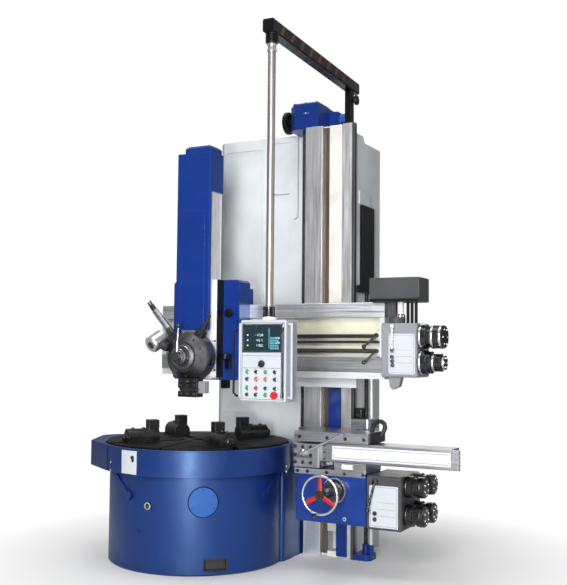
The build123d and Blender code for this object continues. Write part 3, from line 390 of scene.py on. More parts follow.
def smeared_metal(name, colour, rough=0.12):
    material, tree, shader = blank(name, Metallic=1.0)
    place = spot(tree)
    smears = noise(tree, place, 24, 5, 0.65)
    tone = mixed(tree, ranged(tree, smears, 0.35, 0.75, (0, 0.6)), colour, [c * 0.72 for c in colour])
    plug_in(tree, shader, Base_Color=tone,
            Roughness=ranged(tree, smears, 0.3, 0.75, (rough - 0.04, rough + 0.16)))
    return material


oxide = black_oxide("black_oxide", 0.0060, 0.28, 0.7)
tool_black = black_oxide("tool_black", 0.012, 0.34)
ball_black = plastic("ball_black", (0.010, 0.010, 0.011), 0.16, 0.5)
rubber = plastic("hose_rubber", (0.018, 0.018, 0.019), 0.50)
ink = plastic("engraved_ink", (0.030, 0.032, 0.036), 0.45)
glass = plastic("screen_glass", (0.012, 0.030, 0.040), 0.10, 0.8)
lit = plastic("screen_digits", (0.72, 0.86, 0.84), 0.3, 0.0, 0.25)
cyan = plastic("keypad_cyan", (0.10, 0.34, 0.40), 0.35)
green = plastic("button_green", (0.030, 0.300, 0.090), 0.25, 0.3)
stop_red = plastic("button_red", (0.60, 0.020, 0.015), 0.25, 0.3)
amber = plastic("button_orange", (0.70, 0.110, 0.020), 0.25, 0.3)
chrome = smeared_metal("chrome", (0.78, 0.79, 0.80))
satin_alloy = smeared_metal("satin_alloy", (0.66, 0.665, 0.67), 0.30)
print("materials in all:", len(bpy.data.materials))

# %% [markdown]
# ## The strip between the ways
# One long cover strip closes the gap between the two ways. Above the cross rail it is cream,
# below it is blue, and the short ends at the floor are cream again. A paint line like that is
# best kept in the material: the height decides between two colours, with a step as sharp as a
# masking tape's edge.


# %% Two-colour paint
def masked_paint(name, tape, first, second):
    """Tape lists (height, rising): second starts at a rising mark and ends at a falling one."""
    material, tree, shader = blank(name, Specular_IOR_Level=0.25, Roughness=0.40)
    z = axis_of(tree, "Z")
    place = spot(tree)
    share = 1.0
    for height, rising in tape:
        step = ranged(tree, z, height - 0.001, height + 0.001, (0.0, 1.0) if rising else (1.0, 0.0))
        share = step if share == 1.0 else times(tree, share, step)
    paint = mixed(tree, share, first, second)
    paint = mixed(tree, ranged(tree, noise(tree, place, 6, 4), 0.45, 0.80, (0, 0.30)), paint,
                  (0.30, 0.27, 0.22))
    edge, rounded = worn_edges(tree, 0.003)
    skin = node(tree, "Bump", {"Height": noise(tree, place, 150, 2), "Strength": 0.08, "Distance": 0.002,
                               "Normal": rounded})[0]
    plug_in(tree, shader, Base_Color=paint, Normal=skin)
    return material


strip = masked_paint("strip_paint", [(0.290, True), (1.400, False)], (0.86, 0.83, 0.77), BLUE)
rail_paint = masked_paint("rail_paint", [(1.590, True)], (0.70, 0.735, 0.765), (0.80, 0.78, 0.62))
print("masked paints: 2")

# %% [markdown]
# ## Who wears what
# Each node takes one finish. The table below is the paint shop's list. Eight of the nodes are
# hidden later on, where a finer piece of the same size stands for them.

# %% Paint the nodes
WEARS = {
    shaded_drum_blue: "table_housing guard_ring", blue: "elevating_gearbox saddle ram_cover side_apron column_foot",
    white: "column rail_end_bracket", rail_paint: "cross_rail", strip: "way_cover",
    slate: "rail_feed_box", charcoal: "rail_terminal_box side_feed_box",
    black_paint: "pendant_arm pendant_post brake_wheel side_slot_cover housing_covers "
                 "saddle_fittings rail_cables",
    pendant_paint: "pendant_box", dial_steel: "side_controls", tool_black: "turret_tools pendant_controls",
    oxide: "jaw_1 jaw_2 jaw_3 jaw_4 side_clutches", table_iron: "table_plate", turret_steel: "turret",
    clutch_steel: "rail_clutches", steel_up: "column_ways", steel_ram: "ram",
    steel_dark: "side_feed_shafts rail_lift_screw",
    steel_across: "rail_ways rail_shafts", steel_head: "side_saddle tool_post", steel_bar: "side_ram",
    steel_tube: "pendant_tube", red: "side_handwheel", chrome: "rail_levers",
}
dressed = {name: material for material, names in WEARS.items() for name in names.split()}
for name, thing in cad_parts.items():
    thing.data.materials.clear()
    thing.data.materials.append(dressed[name])
print("nodes without a finish:", sorted(set(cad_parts) - set(dressed)))

# %% [markdown]
# ## Surfaces from arrays
# Nearly every small part of a machine is one of four surfaces: a profile turned about an axis, a
# flat outline given thickness, a circle carried along a path, or one of these repeated. Each is
# a function of two numbers, u and v, laid out on a grid of points. Corners of the grid then
# become quads by counting, with no loop over points.


# %% A grid becomes a skin
def skin_of(points, wrap=True):
    """Grid (m, n, 3) to corners and quads; wrap joins the last column to the first."""
    points = np.asarray(points, float)
    m, n = points.shape[:2]
    index = np.arange(m * n).reshape(m, n)
    if wrap:
        index = np.hstack([index, index[:, :1]])
    quads = np.stack([index[:-1, :-1], index[:-1, 1:], index[1:, 1:], index[1:, :-1]], -1).reshape(-1, 4)
    return points.reshape(-1, 3), quads


def turned(profile, sides=40):
    """x = r cos a, y = r sin a, z = h for each pair (r, h) of the profile."""
    r, h = np.array(profile, float).T
    a = np.linspace(0, 2 * np.pi, sides, endpoint=False)
    return skin_of(np.stack([np.outer(r, np.cos(a)), np.outer(r, np.sin(a)), np.outer(h, np.ones(sides))],
                            -1))


def rounded_outline(width, height, corner, steps=5):
    """Four quarter circles joined by straight sides: points, and the way out at each."""
    turn = np.linspace(0, np.pi / 2, steps)
    a = (turn[None, :] + np.arange(4)[:, None] * np.pi / 2).ravel()
    out = np.stack([np.cos(a), np.sin(a)], -1)
    side_x = np.repeat([1, -1, -1, 1], steps) * (width / 2 - corner)
    side_y = np.repeat([1, 1, -1, -1], steps) * (height / 2 - corner)
    return np.stack([side_x, side_y], -1) + corner * out, out


def plate(width, height, thick, corner=0.004, edge=0.0015):
    """The outline drawn in by edge (1 - cos t) while it rises by edge sin t, then closed.

    One more ring lies flat just inside the edge, so the edge's roundness ends there and
    doesn't shade the whole face."""
    ring, out = rounded_outline(width, height, max(corner, edge * 1.02))
    t = np.linspace(0, np.pi / 2, 4)
    inset = np.concatenate([[0], edge * (1 - np.cos(t))])
    rise = np.concatenate([[0], thick - edge + edge * np.sin(t)])
    rings = ring[None] - inset[:, None, None] * out[None]
    rings = np.concatenate([rings[:1] * 0, rings, rings[-1:] * 0.96, rings[-1:] * 0])
    rise = np.concatenate([[0], rise, rise[-1:], rise[-1:]])
    return skin_of(np.dstack([rings, np.broadcast_to(rise[:, None], rings.shape[:2])]))


def prism(outline, thick):
    """Any outline that its centre can see, given a thickness and closed at both ends."""
    ring = np.array(outline, float)
    middle = np.broadcast_to(ring.mean(0), ring.shape)
    rings = np.stack([middle, ring, ring, middle])
    rise = np.array([0, 0, thick, thick])[:, None] * np.ones(len(ring))
    return skin_of(np.dstack([rings, rise]))


def tube(path, radius, sides=14):
    """p + r (n cos a + b sin a), with n and b square to the path; closed by a point at each end."""
    path = np.array(path, float)
    along = np.gradient(path, axis=0)
    along /= np.linalg.norm(along, axis=1, keepdims=True)
    guide = np.eye(3)[np.abs(along).sum(0).argmin()]
    n = guide - along * (along @ guide)[:, None]
    n /= np.linalg.norm(n, axis=1, keepdims=True)
    b = np.cross(along, n)
    a = np.linspace(0, 2 * np.pi, sides, endpoint=False)[None, :, None]
    size = np.broadcast_to(np.asarray(radius, float), (len(path),))[:, None, None]
    rings = path[:, None] + size * (n[:, None] * np.cos(a) + b[:, None] * np.sin(a))
    ends = [np.broadcast_to(p, (1, sides, 3)) for p in (path[0], path[-1])]
    return skin_of(np.concatenate([ends[0], rings, ends[1]]))


def rod(a, b, r0, r1=None):
    """A straight tube from a to b whose radius goes evenly from r0 to r1."""
    path = np.linspace(a, b, 4)
    return tube(path, np.linspace(r0, r1 or r0, 4), 16)


# %% [markdown]
# ## Placing, repeating and making
# A shape is drawn flat, facing up. To put it on the machine, its three axes are laid on three
# directions: across, up and out. Repeats are the same corners plus a list of shifts. Only then
# does the mesh enter Blender, once, with doubles merged so that poles and seams are closed.


# %% Place, repeat, make
def face_to(shape, at=(0, 0, 0), out=(0, -1, 0), top=(0, 0, 1)):
    """Local z goes to out, local y towards top, and local x to the right of both."""
    z = np.array(out, float) / np.linalg.norm(out)
    y = np.array(top, float) - z * np.dot(top, z)
    y /= np.linalg.norm(y)
    corners, quads = shape
    return corners @ np.stack([np.cross(y, z), y, z]) + np.array(at, float), quads


def upright(shape, at=(0, 0, 0)):
    """The same, with local z straight up and local y to the back."""
    return face_to(shape, at, (0, 0, 1), (0, 1, 0))


def repeated(shape, shifts):
    corners, quads = shape
    shifts = np.array(shifts, float)
    many = (corners[None] + shifts[:, None]).reshape(-1, 3)
    return many, (quads[None] + np.arange(len(shifts))[:, None, None] * len(corners)).reshape(-1, 4)


def together(*shapes):
    starts = np.cumsum([0] + [len(c) for c, q in shapes[:-1]])
    return np.vstack([c for c, q in shapes]), np.vstack([q + s for (c, q), s in zip(shapes, starts)])


def make(name, material, body, *shapes, stands_for=(), slot=None, sharp=35):
    """One mesh object from all the shapes: merged, facing outwards, smooth up to a sharp angle."""
    corners, quads = together(*shapes)
    mesh = bpy.data.meshes.new(name)
    mesh.from_pydata(corners.tolist(), [], quads.tolist())
    work = bmesh.new()
    work.from_mesh(mesh)
    bmesh.ops.remove_doubles(work, verts=work.verts, dist=2e-5)
    bmesh.ops.dissolve_degenerate(work, edges=work.edges, dist=1e-6)
    bmesh.ops.recalc_face_normals(work, faces=work.faces)
    work.to_mesh(mesh)
    work.free()
    mesh.shade_smooth()
    mesh.set_sharp_from_angle(angle=math.radians(sharp))
    mesh.materials.append(material)
    piece = bpy.data.objects.new(name, mesh)
    bpy.context.scene.collection.objects.link(piece)
    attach(piece, body)
    if stands_for:
        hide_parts(*stands_for)
    return piece


def polar(radius, angle, z=0.0):
    """A point at that distance and angle in degrees round the table's axis."""
    a = np.radians(angle)
    return np.array([radius * np.cos(a), radius * np.sin(a), z])


print("shape makers ready")

# %% [markdown]
# ## Screws
# A socket screw's head is a short barrel with a six-sided hole. Seen as a surface it is one run
# of rings from the foot of the head, over its edge and down into the hole, where the rings turn
# from a circle to a hexagon: r = apothem / cos(distance to the middle of a side).


# %% Screw heads
def cap_screw(r, tall, sides=24):
    a = np.linspace(0, 2 * np.pi, sides, endpoint=False)
    round_ring = np.ones(sides)
    hex_ring = 0.52 / np.cos((a + np.pi / 6) % (np.pi / 3) - np.pi / 6)
    rings = [(r * 0, 0.0), (r * round_ring, 0.0), (r * round_ring, tall * 0.82),
             (r * 0.88 * round_ring, tall), (r * hex_ring, tall), (r * hex_ring, tall * 0.35),
             (r * 0, tall * 0.35)]
    radius = np.array([np.broadcast_to(q, sides) for q, h in rings])
    height = np.array([h for q, h in rings])[:, None] * np.ones(sides)
    return skin_of(np.stack([radius * np.cos(a), radius * np.sin(a), height], -1))


def square_screw(r, tall):
    """A square head on a round collar."""
    collar = turned([(0, 0), (r * 1.15, 0), (r * 1.15, tall * 0.2), (0, tall * 0.2)], 24)
    head = plate(r * 1.5, r * 1.5, tall, r * 0.12, r * 0.10)
    return together(collar, head)


def screws(shape, spots, out=(0, -1, 0), top=(0, 0, 1)):
    return repeated(face_to(shape, out=out, top=top), spots)


print("one cap screw has", len(cap_screw(0.01, 0.008)[1]), "faces")

# %% [markdown]
# ## On the drum and the ring
# The drum carries a round inspection plate, an oil sight glass, one plug and a pocket at its foot whose
# near-black lining is painted shade, and the guard ring a bare plate with a catch. The plate on the ring is
# curved: a grid over angle and height, given two radii, so it hugs the sheet under it.


# %% Drum and ring details
def hugging(radius, angles, heights, thick, count=12):
    """A closed shell between radius and radius + thick over that span of angle and height."""
    a = np.radians(np.linspace(*angles, count))
    lo, hi = heights
    loop = [(radius, lo), (radius + thick * 0.6, lo), (radius + thick, lo + thick * 0.4),
            (radius + thick, hi - thick * 0.4), (radius + thick * 0.6, hi), (radius, hi)]
    rr, zz = np.array(loop).T
    grid = np.stack([np.outer(np.cos(a), rr), np.outer(np.sin(a), rr), np.outer(np.ones(count), zz)], -1)
    caps = [np.broadcast_to(grid[k].mean(0), (1, len(loop), 3)) for k in (0, -1)]
    return skin_of(np.concatenate([caps[0], grid, caps[1]]))


cover_angle, cover_z = -54.0, 0.530
sight_angle, sight_z = -88.5, 0.490
plug_angle, plug_z = -96.4, 0.302
catch_angle, plate_angles = -96.6, (-105.8, -93.9)
pocket_angle, pocket_z = -46.0, 0.076
cover_out, sight_out, plug_out, catch_out, pocket_out = (
    polar(1, angle) for angle in (cover_angle, sight_angle, plug_angle, catch_angle, pocket_angle))
cover_face = polar(drum_r, cover_angle, cover_z)
sight_seat = turned([(0, -0.012), (0.030, -0.012), (0.030, 0.009), (0.0285, 0.010), (0, 0.010)], 40)
cover_seat = turned([(0, -0.020), (0.112, -0.020), (0.112, 0.010), (0.109, 0.0125), (0, 0.0125)], 64)
make("drum_cover_seats", black_paint, "frame", face_to(cover_seat, cover_face, cover_out),
     face_to(sight_seat, polar(drum_r, sight_angle, sight_z), sight_out),
     stands_for=["housing_covers"], slot="blue_enamel")
dome = turned([(0, 0.011), (0.106, 0.011), (0.106, 0.016), (0.103, 0.019), (0.060, 0.0205), (0, 0.021)], 64)
make("drum_cover_plate", pale_blue, "frame", face_to(dome, cover_face, cover_out), slot="blue_enamel")
cover_right, straight_up = np.cross((0, 0, 1), cover_out), np.array([0, 0, 1])
cover_spots = [cover_face + cover_out * 0.012 + 0.090 * (np.cos(t) * cover_right + np.sin(t) * straight_up)
               for t in np.radians(np.arange(30, 390, 60))]
make("drum_cover_screws", blue, "frame", screws(cap_screw(0.0065, 0.010), cover_spots, cover_out),
     slot="ground_steel")
sight_face = polar(drum_r + 0.010, sight_angle, sight_z)
bezel = turned([(0.017, 0), (0.028, 0), (0.028, 0.004), (0.025, 0.007), (0.019, 0.007), (0.017, 0.004),
                (0.017, 0)], 40)
eye = turned([(0, 0), (0.0175, 0), (0.0175, 0.0035), (0.012, 0.005), (0, 0.0055)], 32)
make("sight_glass_bezel", chrome, "frame", face_to(bezel, sight_face, sight_out))
make("sight_glass", glass, "frame", face_to(eye, sight_face, sight_out))
make("drum_plug", oxide, "frame", face_to(cap_screw(0.014, 0.012),
                                          polar(drum_r - 0.002, plug_angle, plug_z), plug_out))
make("ring_plate", plate_silver, "frame",
     hugging(ring_r - 0.001, plate_angles, (drum_top + 0.006, ring_top - 0.016), 0.004))
catch_at = polar(ring_r + 0.002, catch_angle, ring_top - 0.074)
catch_knob = turned([(0, 0), (0.010, 0), (0.010, 0.016), (0.007, 0.020), (0, 0.020)], 24)
make("ring_plate_catch", ball_black, "frame",
     face_to(plate(0.022, 0.048, 0.006, 0.010, 0.002), catch_at, catch_out),
     face_to(catch_knob, catch_at + (0, 0, 0.012), catch_out))
ring_screws = [face_to(cap_screw(0.008, 0.008), polar(ring_r - 0.001, a, z), polar(1, a))
               for a, z in ((-117.8, 0.781), (-117.7, 0.721), (6.8, 0.742), (6.8, 0.700))]
make("ring_screws", steel_bright, "frame", *ring_screws)
lip = [(ring_r - 0.006, ring_top - 0.010), (ring_r, ring_top - 0.012), (ring_r + 0.003, ring_top - 0.010),
       (ring_r + 0.004, ring_top - 0.005), (ring_r + 0.002, ring_top), (ring_r - 0.003, ring_top + 0.0015),
       (ring_r - 0.006, ring_top)]
make("ring_lip", shaded_drum_blue, "frame", turned(lip + lip[:1], 144), slot="blue_enamel")
tray_corners = ((0.176, 0.088), (-0.176, 0.088), (-0.176, -0.088), (0.176, -0.088))
tray_rings = [(0, 0, -0.058), (0.5, 0.5, -0.058), (0.5, 0.5, -0.004), (0.47, 0.44, -0.004),
              (0.47, 0.44, -0.054), (0, 0, -0.054)]
tray = skin_of([[(x * wide, y * tall, deep) for x, y in tray_corners] for wide, tall, deep in tray_rings])
# The pocket's near-black inside is painted shade in the recess.
make("drum_pocket_liner", ink, "frame",
     face_to(tray, polar(drum_r - 0.003, pocket_angle, pocket_z), pocket_out))
print("drum and ring dressed")

# %% [markdown]
# ## Jaws
# Each jaw is drawn in by a screw with a square hole at its outer end. The post's gripping face is
# toothed, and two cap screws hold the top jaw on its base. The four jaws are one drawing, a
# quarter turn apart, on a table that has stopped ten degrees past its zero.

# %% Jaw fittings
FIRST_JAW, TABLE_TURN = 45.0, 10.0
SCREWS_FROM_AXIS, COLLAR_FROM_AXIS, GRIP_FROM_AXIS = (0.462, 0.548), 0.6255, 0.3462
JAW_LIFT, BASE_TALL, STEP_TALL = 0.0003, 0.036, 0.065
step_top = table_top + JAW_LIFT + BASE_TALL + STEP_TALL
jaw_collar = turned([(0.017, 0), (0.0265, 0), (0.0265, 0.004), (0.022, 0.007), (0.017, 0.007),
                     (0.017, 0)], 32)
tooth = plate(0.078, 0.0065, 0.004, 0.001, 0.0008)
tooth_rows = [(0, 0, table_top + z) for z in (0.110, 0.122, 0.134, 0.146, 0.158)]
for jaw in range(4):
    name = "jaw_%d" % (jaw + 1)
    angle = FIRST_JAW + TABLE_TURN + 90.0 * jaw
    out = polar(1, angle)
    heads = [polar(r, angle, step_top - 0.002) for r in SCREWS_FROM_AXIS]
    collar_at = polar(COLLAR_FROM_AXIS, angle, table_top + 0.0363)
    teeth = repeated(face_to(tooth, polar(GRIP_FROM_AXIS, angle), -out), tooth_rows)
    make(name + "_cap_screws", clutch_steel, name, screws(cap_screw(0.013, 0.010), heads, (0, 0, 1), out))
    make(name + "_screw_collar", clutch_steel, name, face_to(jaw_collar, collar_at, out))
    make(name + "_grip", clutch_steel, name, teeth)
print("jaws: 4")

# %% [markdown]
# ## Screws and keyed rods that drive the slides
# A trapezoidal thread is a radius that depends on where a point is along the helix: z / pitch
# minus the angle's share of a turn. The part of that number after the point goes through a
# clipped triangle, which gives crest, flank and root. A feed rod instead has one long keyway.


# %% Threads and keyed rods
def threaded(radius, depth, pitch, length, sides=18, per_turn=7):
    """r = R - depth * clip(|2 frac(z/pitch - a/2pi) - 1| * 2.2 - 0.6, 0, 1), closed at both ends."""
    z = np.arange(0, length, pitch / per_turn)
    a = np.linspace(0, 2 * np.pi, sides, endpoint=False)
    phase = (z[:, None] / pitch - a[None] / (2 * np.pi)) % 1.0
    r = radius - depth * np.clip(np.abs(2 * phase - 1) * 2.2 - 0.6, 0, 1)
    grid = np.stack([r * np.cos(a), r * np.sin(a), np.broadcast_to(z[:, None], r.shape)], -1)
    ends = np.zeros((2, sides, 3))
    ends[1, :, 2] = z[-1]
    return skin_of(np.concatenate([ends[:1], grid, ends[1:]]))


def keyed(radius, key, depth, length):
    """A round rod whose outline drops by depth over the width of the key."""
    a = np.radians(np.array([-8, -7.9, 7.9, 8]) * (key / radius * 3.6))
    a = np.concatenate([a, np.linspace(a[-1] + 0.2, a[0] + 2 * np.pi - 0.2, 30)])
    r = np.full(len(a), radius)
    r[1:3] -= depth
    z = np.array([0, 0, length, length])[:, None]
    grid = np.stack([r * np.cos(a) * [[0], [1], [1], [0]], r * np.sin(a) * [[0], [1], [1], [0]],
                     np.broadcast_to(z, (4, len(a)))], -1)
    return skin_of(grid)


shaft_y, SCREW_Z, PLAIN_ROD_Z, KEYED_ROD_Z = 0.262, 1.632, 1.700, 1.745
SIDE_SCREW_AT, SIDE_ROD_AT, LIFT_SCREW_AT = (1.212, 0.570), (1.256, 0.570), (0.620, 0.640)
rail_x0, rail_len = low["rail_shafts"][0], high["rail_shafts"][0] - low["rail_shafts"][0]
plain_rod = turned([(0, 0), (0.010, 0), (0.010, rail_len), (0, rail_len)], 24)
keyed_rod = keyed(0.014, 0.004, 0.003, rail_len)
rail_rods = [face_to(threaded(0.017, 0.0035, 0.012, rail_len), (rail_x0, shaft_y, SCREW_Z), (1, 0, 0)),
             face_to(plain_rod, (rail_x0, shaft_y, PLAIN_ROD_Z), (1, 0, 0)),
             face_to(keyed_rod, (rail_x0, shaft_y, KEYED_ROD_Z), (1, 0, 0), (0, -1, 0))]
make("rail_screw_and_rods", steel_dark, "rail", *rail_rods, stands_for=["rail_shafts"], slot="dark_steel",
     sharp=50)
side_low, side_high = low["side_feed_shafts"], high["side_feed_shafts"]
side_len = side_high[2] - side_low[2]
side_screw = upright(threaded(0.018, 0.0035, 0.012, side_len), (*SIDE_SCREW_AT, side_low[2]))
side_rod = face_to(keyed(0.013, 0.004, 0.003, side_len), (*SIDE_ROD_AT, side_low[2]), (0, 0, 1), (1, -1, 0))
make("side_feed_rod", steel_ram, "frame", side_rod, slot="ground_steel", sharp=50)
make("side_feed_screw", steel_dark, "frame", side_screw, stands_for=["side_feed_shafts"],
     slot="ground_steel", sharp=50)
lift_low, lift_high = low["rail_lift_screw"], high["rail_lift_screw"]
lift = threaded(0.025, 0.0045, 0.016, lift_high[2] - lift_low[2])
make("elevating_screw", steel_dark, "frame", upright(lift, (*LIFT_SCREW_AT, lift_low[2])),
     stands_for=["rail_lift_screw"], slot="dark_steel", sharp=50)
print("threads: 3")

# %% [markdown]
# ## Ways and column
# The gap beside the left way is lined with a dark, oily, brownish metal face: painted shade in the groove. On
# the column's side a light cover closes the top of the black guard.

# %% Ways and column details
LEFT_WAY_RIGHT, GROOVE_Y, COLUMN_FRONT = 0.860, 0.5095, 0.765
strip_left = low["way_cover"][0]
groove_z = (0.02, high["column_ways"][2] - 0.01)
groove = plate(strip_left - LEFT_WAY_RIGHT - 0.002, groove_z[1] - groove_z[0], 0.004, 0.001, 0.0008)
groove_at = ((LEFT_WAY_RIGHT + strip_left) / 2, GROOVE_Y, sum(groove_z) / 2)
# A dark plate in the gap: painted shade.
make("way_groove_lining", groove_shade_steel, "frame", face_to(groove, groove_at))
cap_cover = plate(0.230, 0.110, 0.012, 0.012, 0.003)
make("slot_cover_cap", white, "frame", face_to(cap_cover, (1.131, 0.700, 2.880), (1, 0, 0)),
     slot="white_casting")
nut = plate(0.120, 0.080, 0.048, 0.010, 0.004)
make("side_head_nut_guard", ball_black, "side_head", face_to(nut, (1.156, 0.545, 1.141), (1, 0, 0)),
     slot="black_paint")
ledge = plate(0.235, 0.385, 0.016, 0.020, 0.006)
column_rib = plate(0.030, 1.500, 0.010, 0.008, 0.004)
make("column_reliefs", white, "frame", face_to(ledge, (0.310, COLUMN_FRONT + 0.001, 3.178)),
     face_to(column_rib, (0.150, COLUMN_FRONT + 0.001, 2.600)), slot="white_casting")
foot_plate = plate(0.092, 0.290, 0.012, 0.006, 0.003)
foot_at = (1.048, low["column_ways"][1] + 0.0005, 0.160)
make("way_foot_plate", blue, "frame", face_to(foot_plate, foot_at), slot="blue_enamel")
print("column dressed")

# %% [markdown]
# ## Elevating gear
# The gear case on top has a bolted lid, and the motor beside it cooling fins under a pale cover.
# Fins are one turned profile with many steps, which a comb of radii writes in a line.

# %% Gear case and motor
lid_z = high["elevating_gearbox"][2]
LID_X, LID_Y, GEAR_FRONT = 0.670, 0.640, 0.5005
gear_lid = plate(0.240, 0.235, 0.008, 0.020, 0.003)
make("gear_case_lid", blue, "frame", upright(gear_lid, (LID_X, LID_Y, lid_z - 0.001)), slot="blue_enamel")
lid_spots = [(LID_X + x, LID_Y + y, lid_z + 0.006) for x in (-0.100, 0, 0.100) for y in (-0.098, 0.098)]
make("gear_case_lid_screws", oxide, "frame", screws(cap_screw(0.008, 0.009), lid_spots, (0, 0, 1), (0, 1, 0)))
plug_spots = [(0.690 + x, GEAR_FRONT, 3.600 + z) for x, z in ((0, 0), (-0.022, 0.002), (0.022, 0.002))]
make("gear_case_plugs", steel_bright, "frame", screws(cap_screw(0.0085, 0.006), plug_spots[:1]),
     screws(cap_screw(0.004, 0.004), plug_spots[1:]))
corner_spots = [(0.600 + x, GEAR_FRONT, 3.580 + z) for x in (0.0, 0.180) for z in (-0.085, 0.085)]
make("gear_case_front_screws", blue, "frame", screws(cap_screw(0.007, 0.007), corner_spots),
     slot="blue_enamel")
motor_at = (0.880, 0.790, lid_z - 0.110)
comb = [(0.0555 + 0.005 * (k // 2 % 2), 0.004 + 0.0045 * k - 0.0015 * (k % 2)) for k in range(13)]
motor = turned([(0, 0.002), (0.0555, 0.002)] + comb + [(0.056, 0.064), (0.050, 0.080), (0.030, 0.083),
                                                       (0, 0.083)], 48)
make("motor_cover", pale_blue, "frame", face_to(motor, motor_at, (1, 0, 0)), slot="blue_enamel")
print("gear case dressed")

# %% [markdown]
# ## The pendant's arm
# Slanted stripes warn whoever walks under the swinging arm. They are thin parallelograms laid on
# both sides of the beam, and the beam is turned by a small angle, so their places are worked out
# along the beam first and then turned about the post.

# %% Arm stripes
POST_AT, ARM_REACH = np.array([1.075, 0.520, 0.0]), 1.470
lean = math.radians(2.72)
beam_way = np.array([math.sin(lean), -math.cos(lean), 0.0])
beam_side = np.array([math.cos(lean), math.sin(lean), 0.0])
stripe = prism([(-0.046, -0.036), (-0.002, -0.036), (0.046, 0.036), (0.002, 0.036)], 0.0012)
stripes = []
stripe_z = high["pendant_arm"][2] - 0.045
for along in np.linspace(0.235, 1.385, 8):
    for side in (1, -1):
        at = POST_AT + beam_way * along + beam_side * side * 0.0415 + (0, 0, stripe_z)
        stripes.append(face_to(stripe, at, beam_side * side))
make("arm_stripes", orange, "pendant_arm", *stripes)
tube_at = POST_AT + beam_way * ARM_REACH
tube_foot = tube_at + (0, 0, high["pendant_box"][2])
clamp = turned([(0.0405, 0.024), (0.043, 0.026), (0.043, 0.048), (0.0405, 0.050), (0.0405, 0.068),
                (0.043, 0.070), (0.043, 0.086), (0.036, 0.0915), (0.027, 0.0915), (0.027, 0.024),
                (0.0405, 0.024)], 40)
make("tube_clamp", ball_black, "pendant", upright(clamp, tube_foot))
tube_collar = turned([(0.027, 0.002), (0.0485, 0.002), (0.0485, 0.018), (0.045, 0.0225), (0.027, 0.0225),
                      (0.027, 0.002)], 40)
make("tube_collar", white_plastic, "pendant", upright(tube_collar, tube_foot))
arm_ring = turned([(0.0245, -0.060), (0.0315, -0.060), (0.0325, -0.046), (0.0290, -0.040),
                   (0.0290, -0.018), (0.0325, -0.012), (0.0315, -0.006), (0.0245, -0.006),
                   (0.0245, -0.060)], 40)
make("tube_top_ring", satin_alloy, "pendant", upright(arm_ring, tube_at + (0, 0, low["pendant_arm"][2])))
print("stripes:", len(stripes))

# %% [markdown]
# ## The pendant's face
# The readout shows plain numbers on a dark screen. A digit is built as on real displays, from up
# to seven bars, and the bars of a number are gathered by looking up which of the seven are lit.
# Below it are a selector and four rows of coloured buttons.

# %% Pendant face
case_front = low["pendant_box"][1]
case_x = (low["pendant_box"][0] + high["pendant_box"][0]) / 2
case_top = high["pendant_box"][2]
case_h = case_top - low["pendant_box"][2]


def frame_line(width, height, line, thick):
    """A flat picture frame: outer outline, inner outline, and the wall between them."""
    outer, inner = (rounded_outline(w, h, 0.006)[0] for w,
                    h in ((width, height), (width - 2 * line, height - 2 * line)))
    loops = np.stack([outer, outer, inner, inner, outer])
    rise = np.array([0, thick, thick, 0, 0])[:, None] * np.ones(len(outer))
    return skin_of(np.dstack([loops, rise]))


def on_face(shape, x, down, off=0.0):
    """Puts a flat shape on the pendant's front, x from its middle and down from its top."""
    return face_to(shape, (case_x + x, case_front - off, case_top - down))


SCREEN_DOWN, SELECTOR_DOWN = 0.1185, 0.284
level_line = plate(0.298, 0.0020, 0.0010, 0.0006, 0.0003)
panel_lines = [on_face(frame_line(0.310, 0.500, 0.0022, 0.0010), 0, case_h / 2),
               on_face(frame_line(0.298, 0.190, 0.0018, 0.0010), -0.005, SCREEN_DOWN),
               on_face(level_line, -0.005, 0.232), on_face(level_line, -0.005, 0.312)]
make("pendant_lines", ink, "pendant", *panel_lines)
screen_at = (case_x - 0.005, case_front - 0.0018, case_top - SCREEN_DOWN)
make("screen", glass, "pendant", face_to(plate(0.272, 0.163, 0.0022, 0.006, 0.001), screen_at))
bars = {"0": "abcdef", "1": "bc", "2": "abged", "3": "abgcd", "4": "fgbc", "5": "afgcd",
        "6": "afgedc", "7": "abc", "8": "abcdefg", "9": "abcfgd", "-": "g"}
bar_at = {"a": (0, 1, 0), "b": (0.5, 0.5, 1), "c": (0.5, -0.5, 1), "d": (0, -1, 0),
          "e": (-0.5, -0.5, 1), "f": (-0.5, 0.5, 1), "g": (0, 0, 0)}


def number(text, x, z, tall=0.020):
    """Each digit is up to seven bars, 0.4 of its height long and 0.1 thick; a digit is 0.5 wide."""
    wide = tall * 0.5
    y = screen_at[1] - 0.0022
    shapes, pen = [], x
    for mark in text:
        if mark == ".":
            point = plate(0.003, 0.003, 0.001, 0.0008, 0.0003)
            shapes.append(face_to(point, (pen - wide * 0.2, y, z - tall / 2)))
            continue
        for bar in bars.get(mark, ""):
            bx, bz, stands = bar_at[bar]
            size = (tall * 0.10, tall * 0.40) if stands else (wide * 0.80, tall * 0.10)
            shapes.append(face_to(plate(*size, 0.001, 0.0006, 0.0003),
                                  (pen + bx * wide, y, z + bz * tall / 2)))
        pen += wide * 1.55
    return shapes


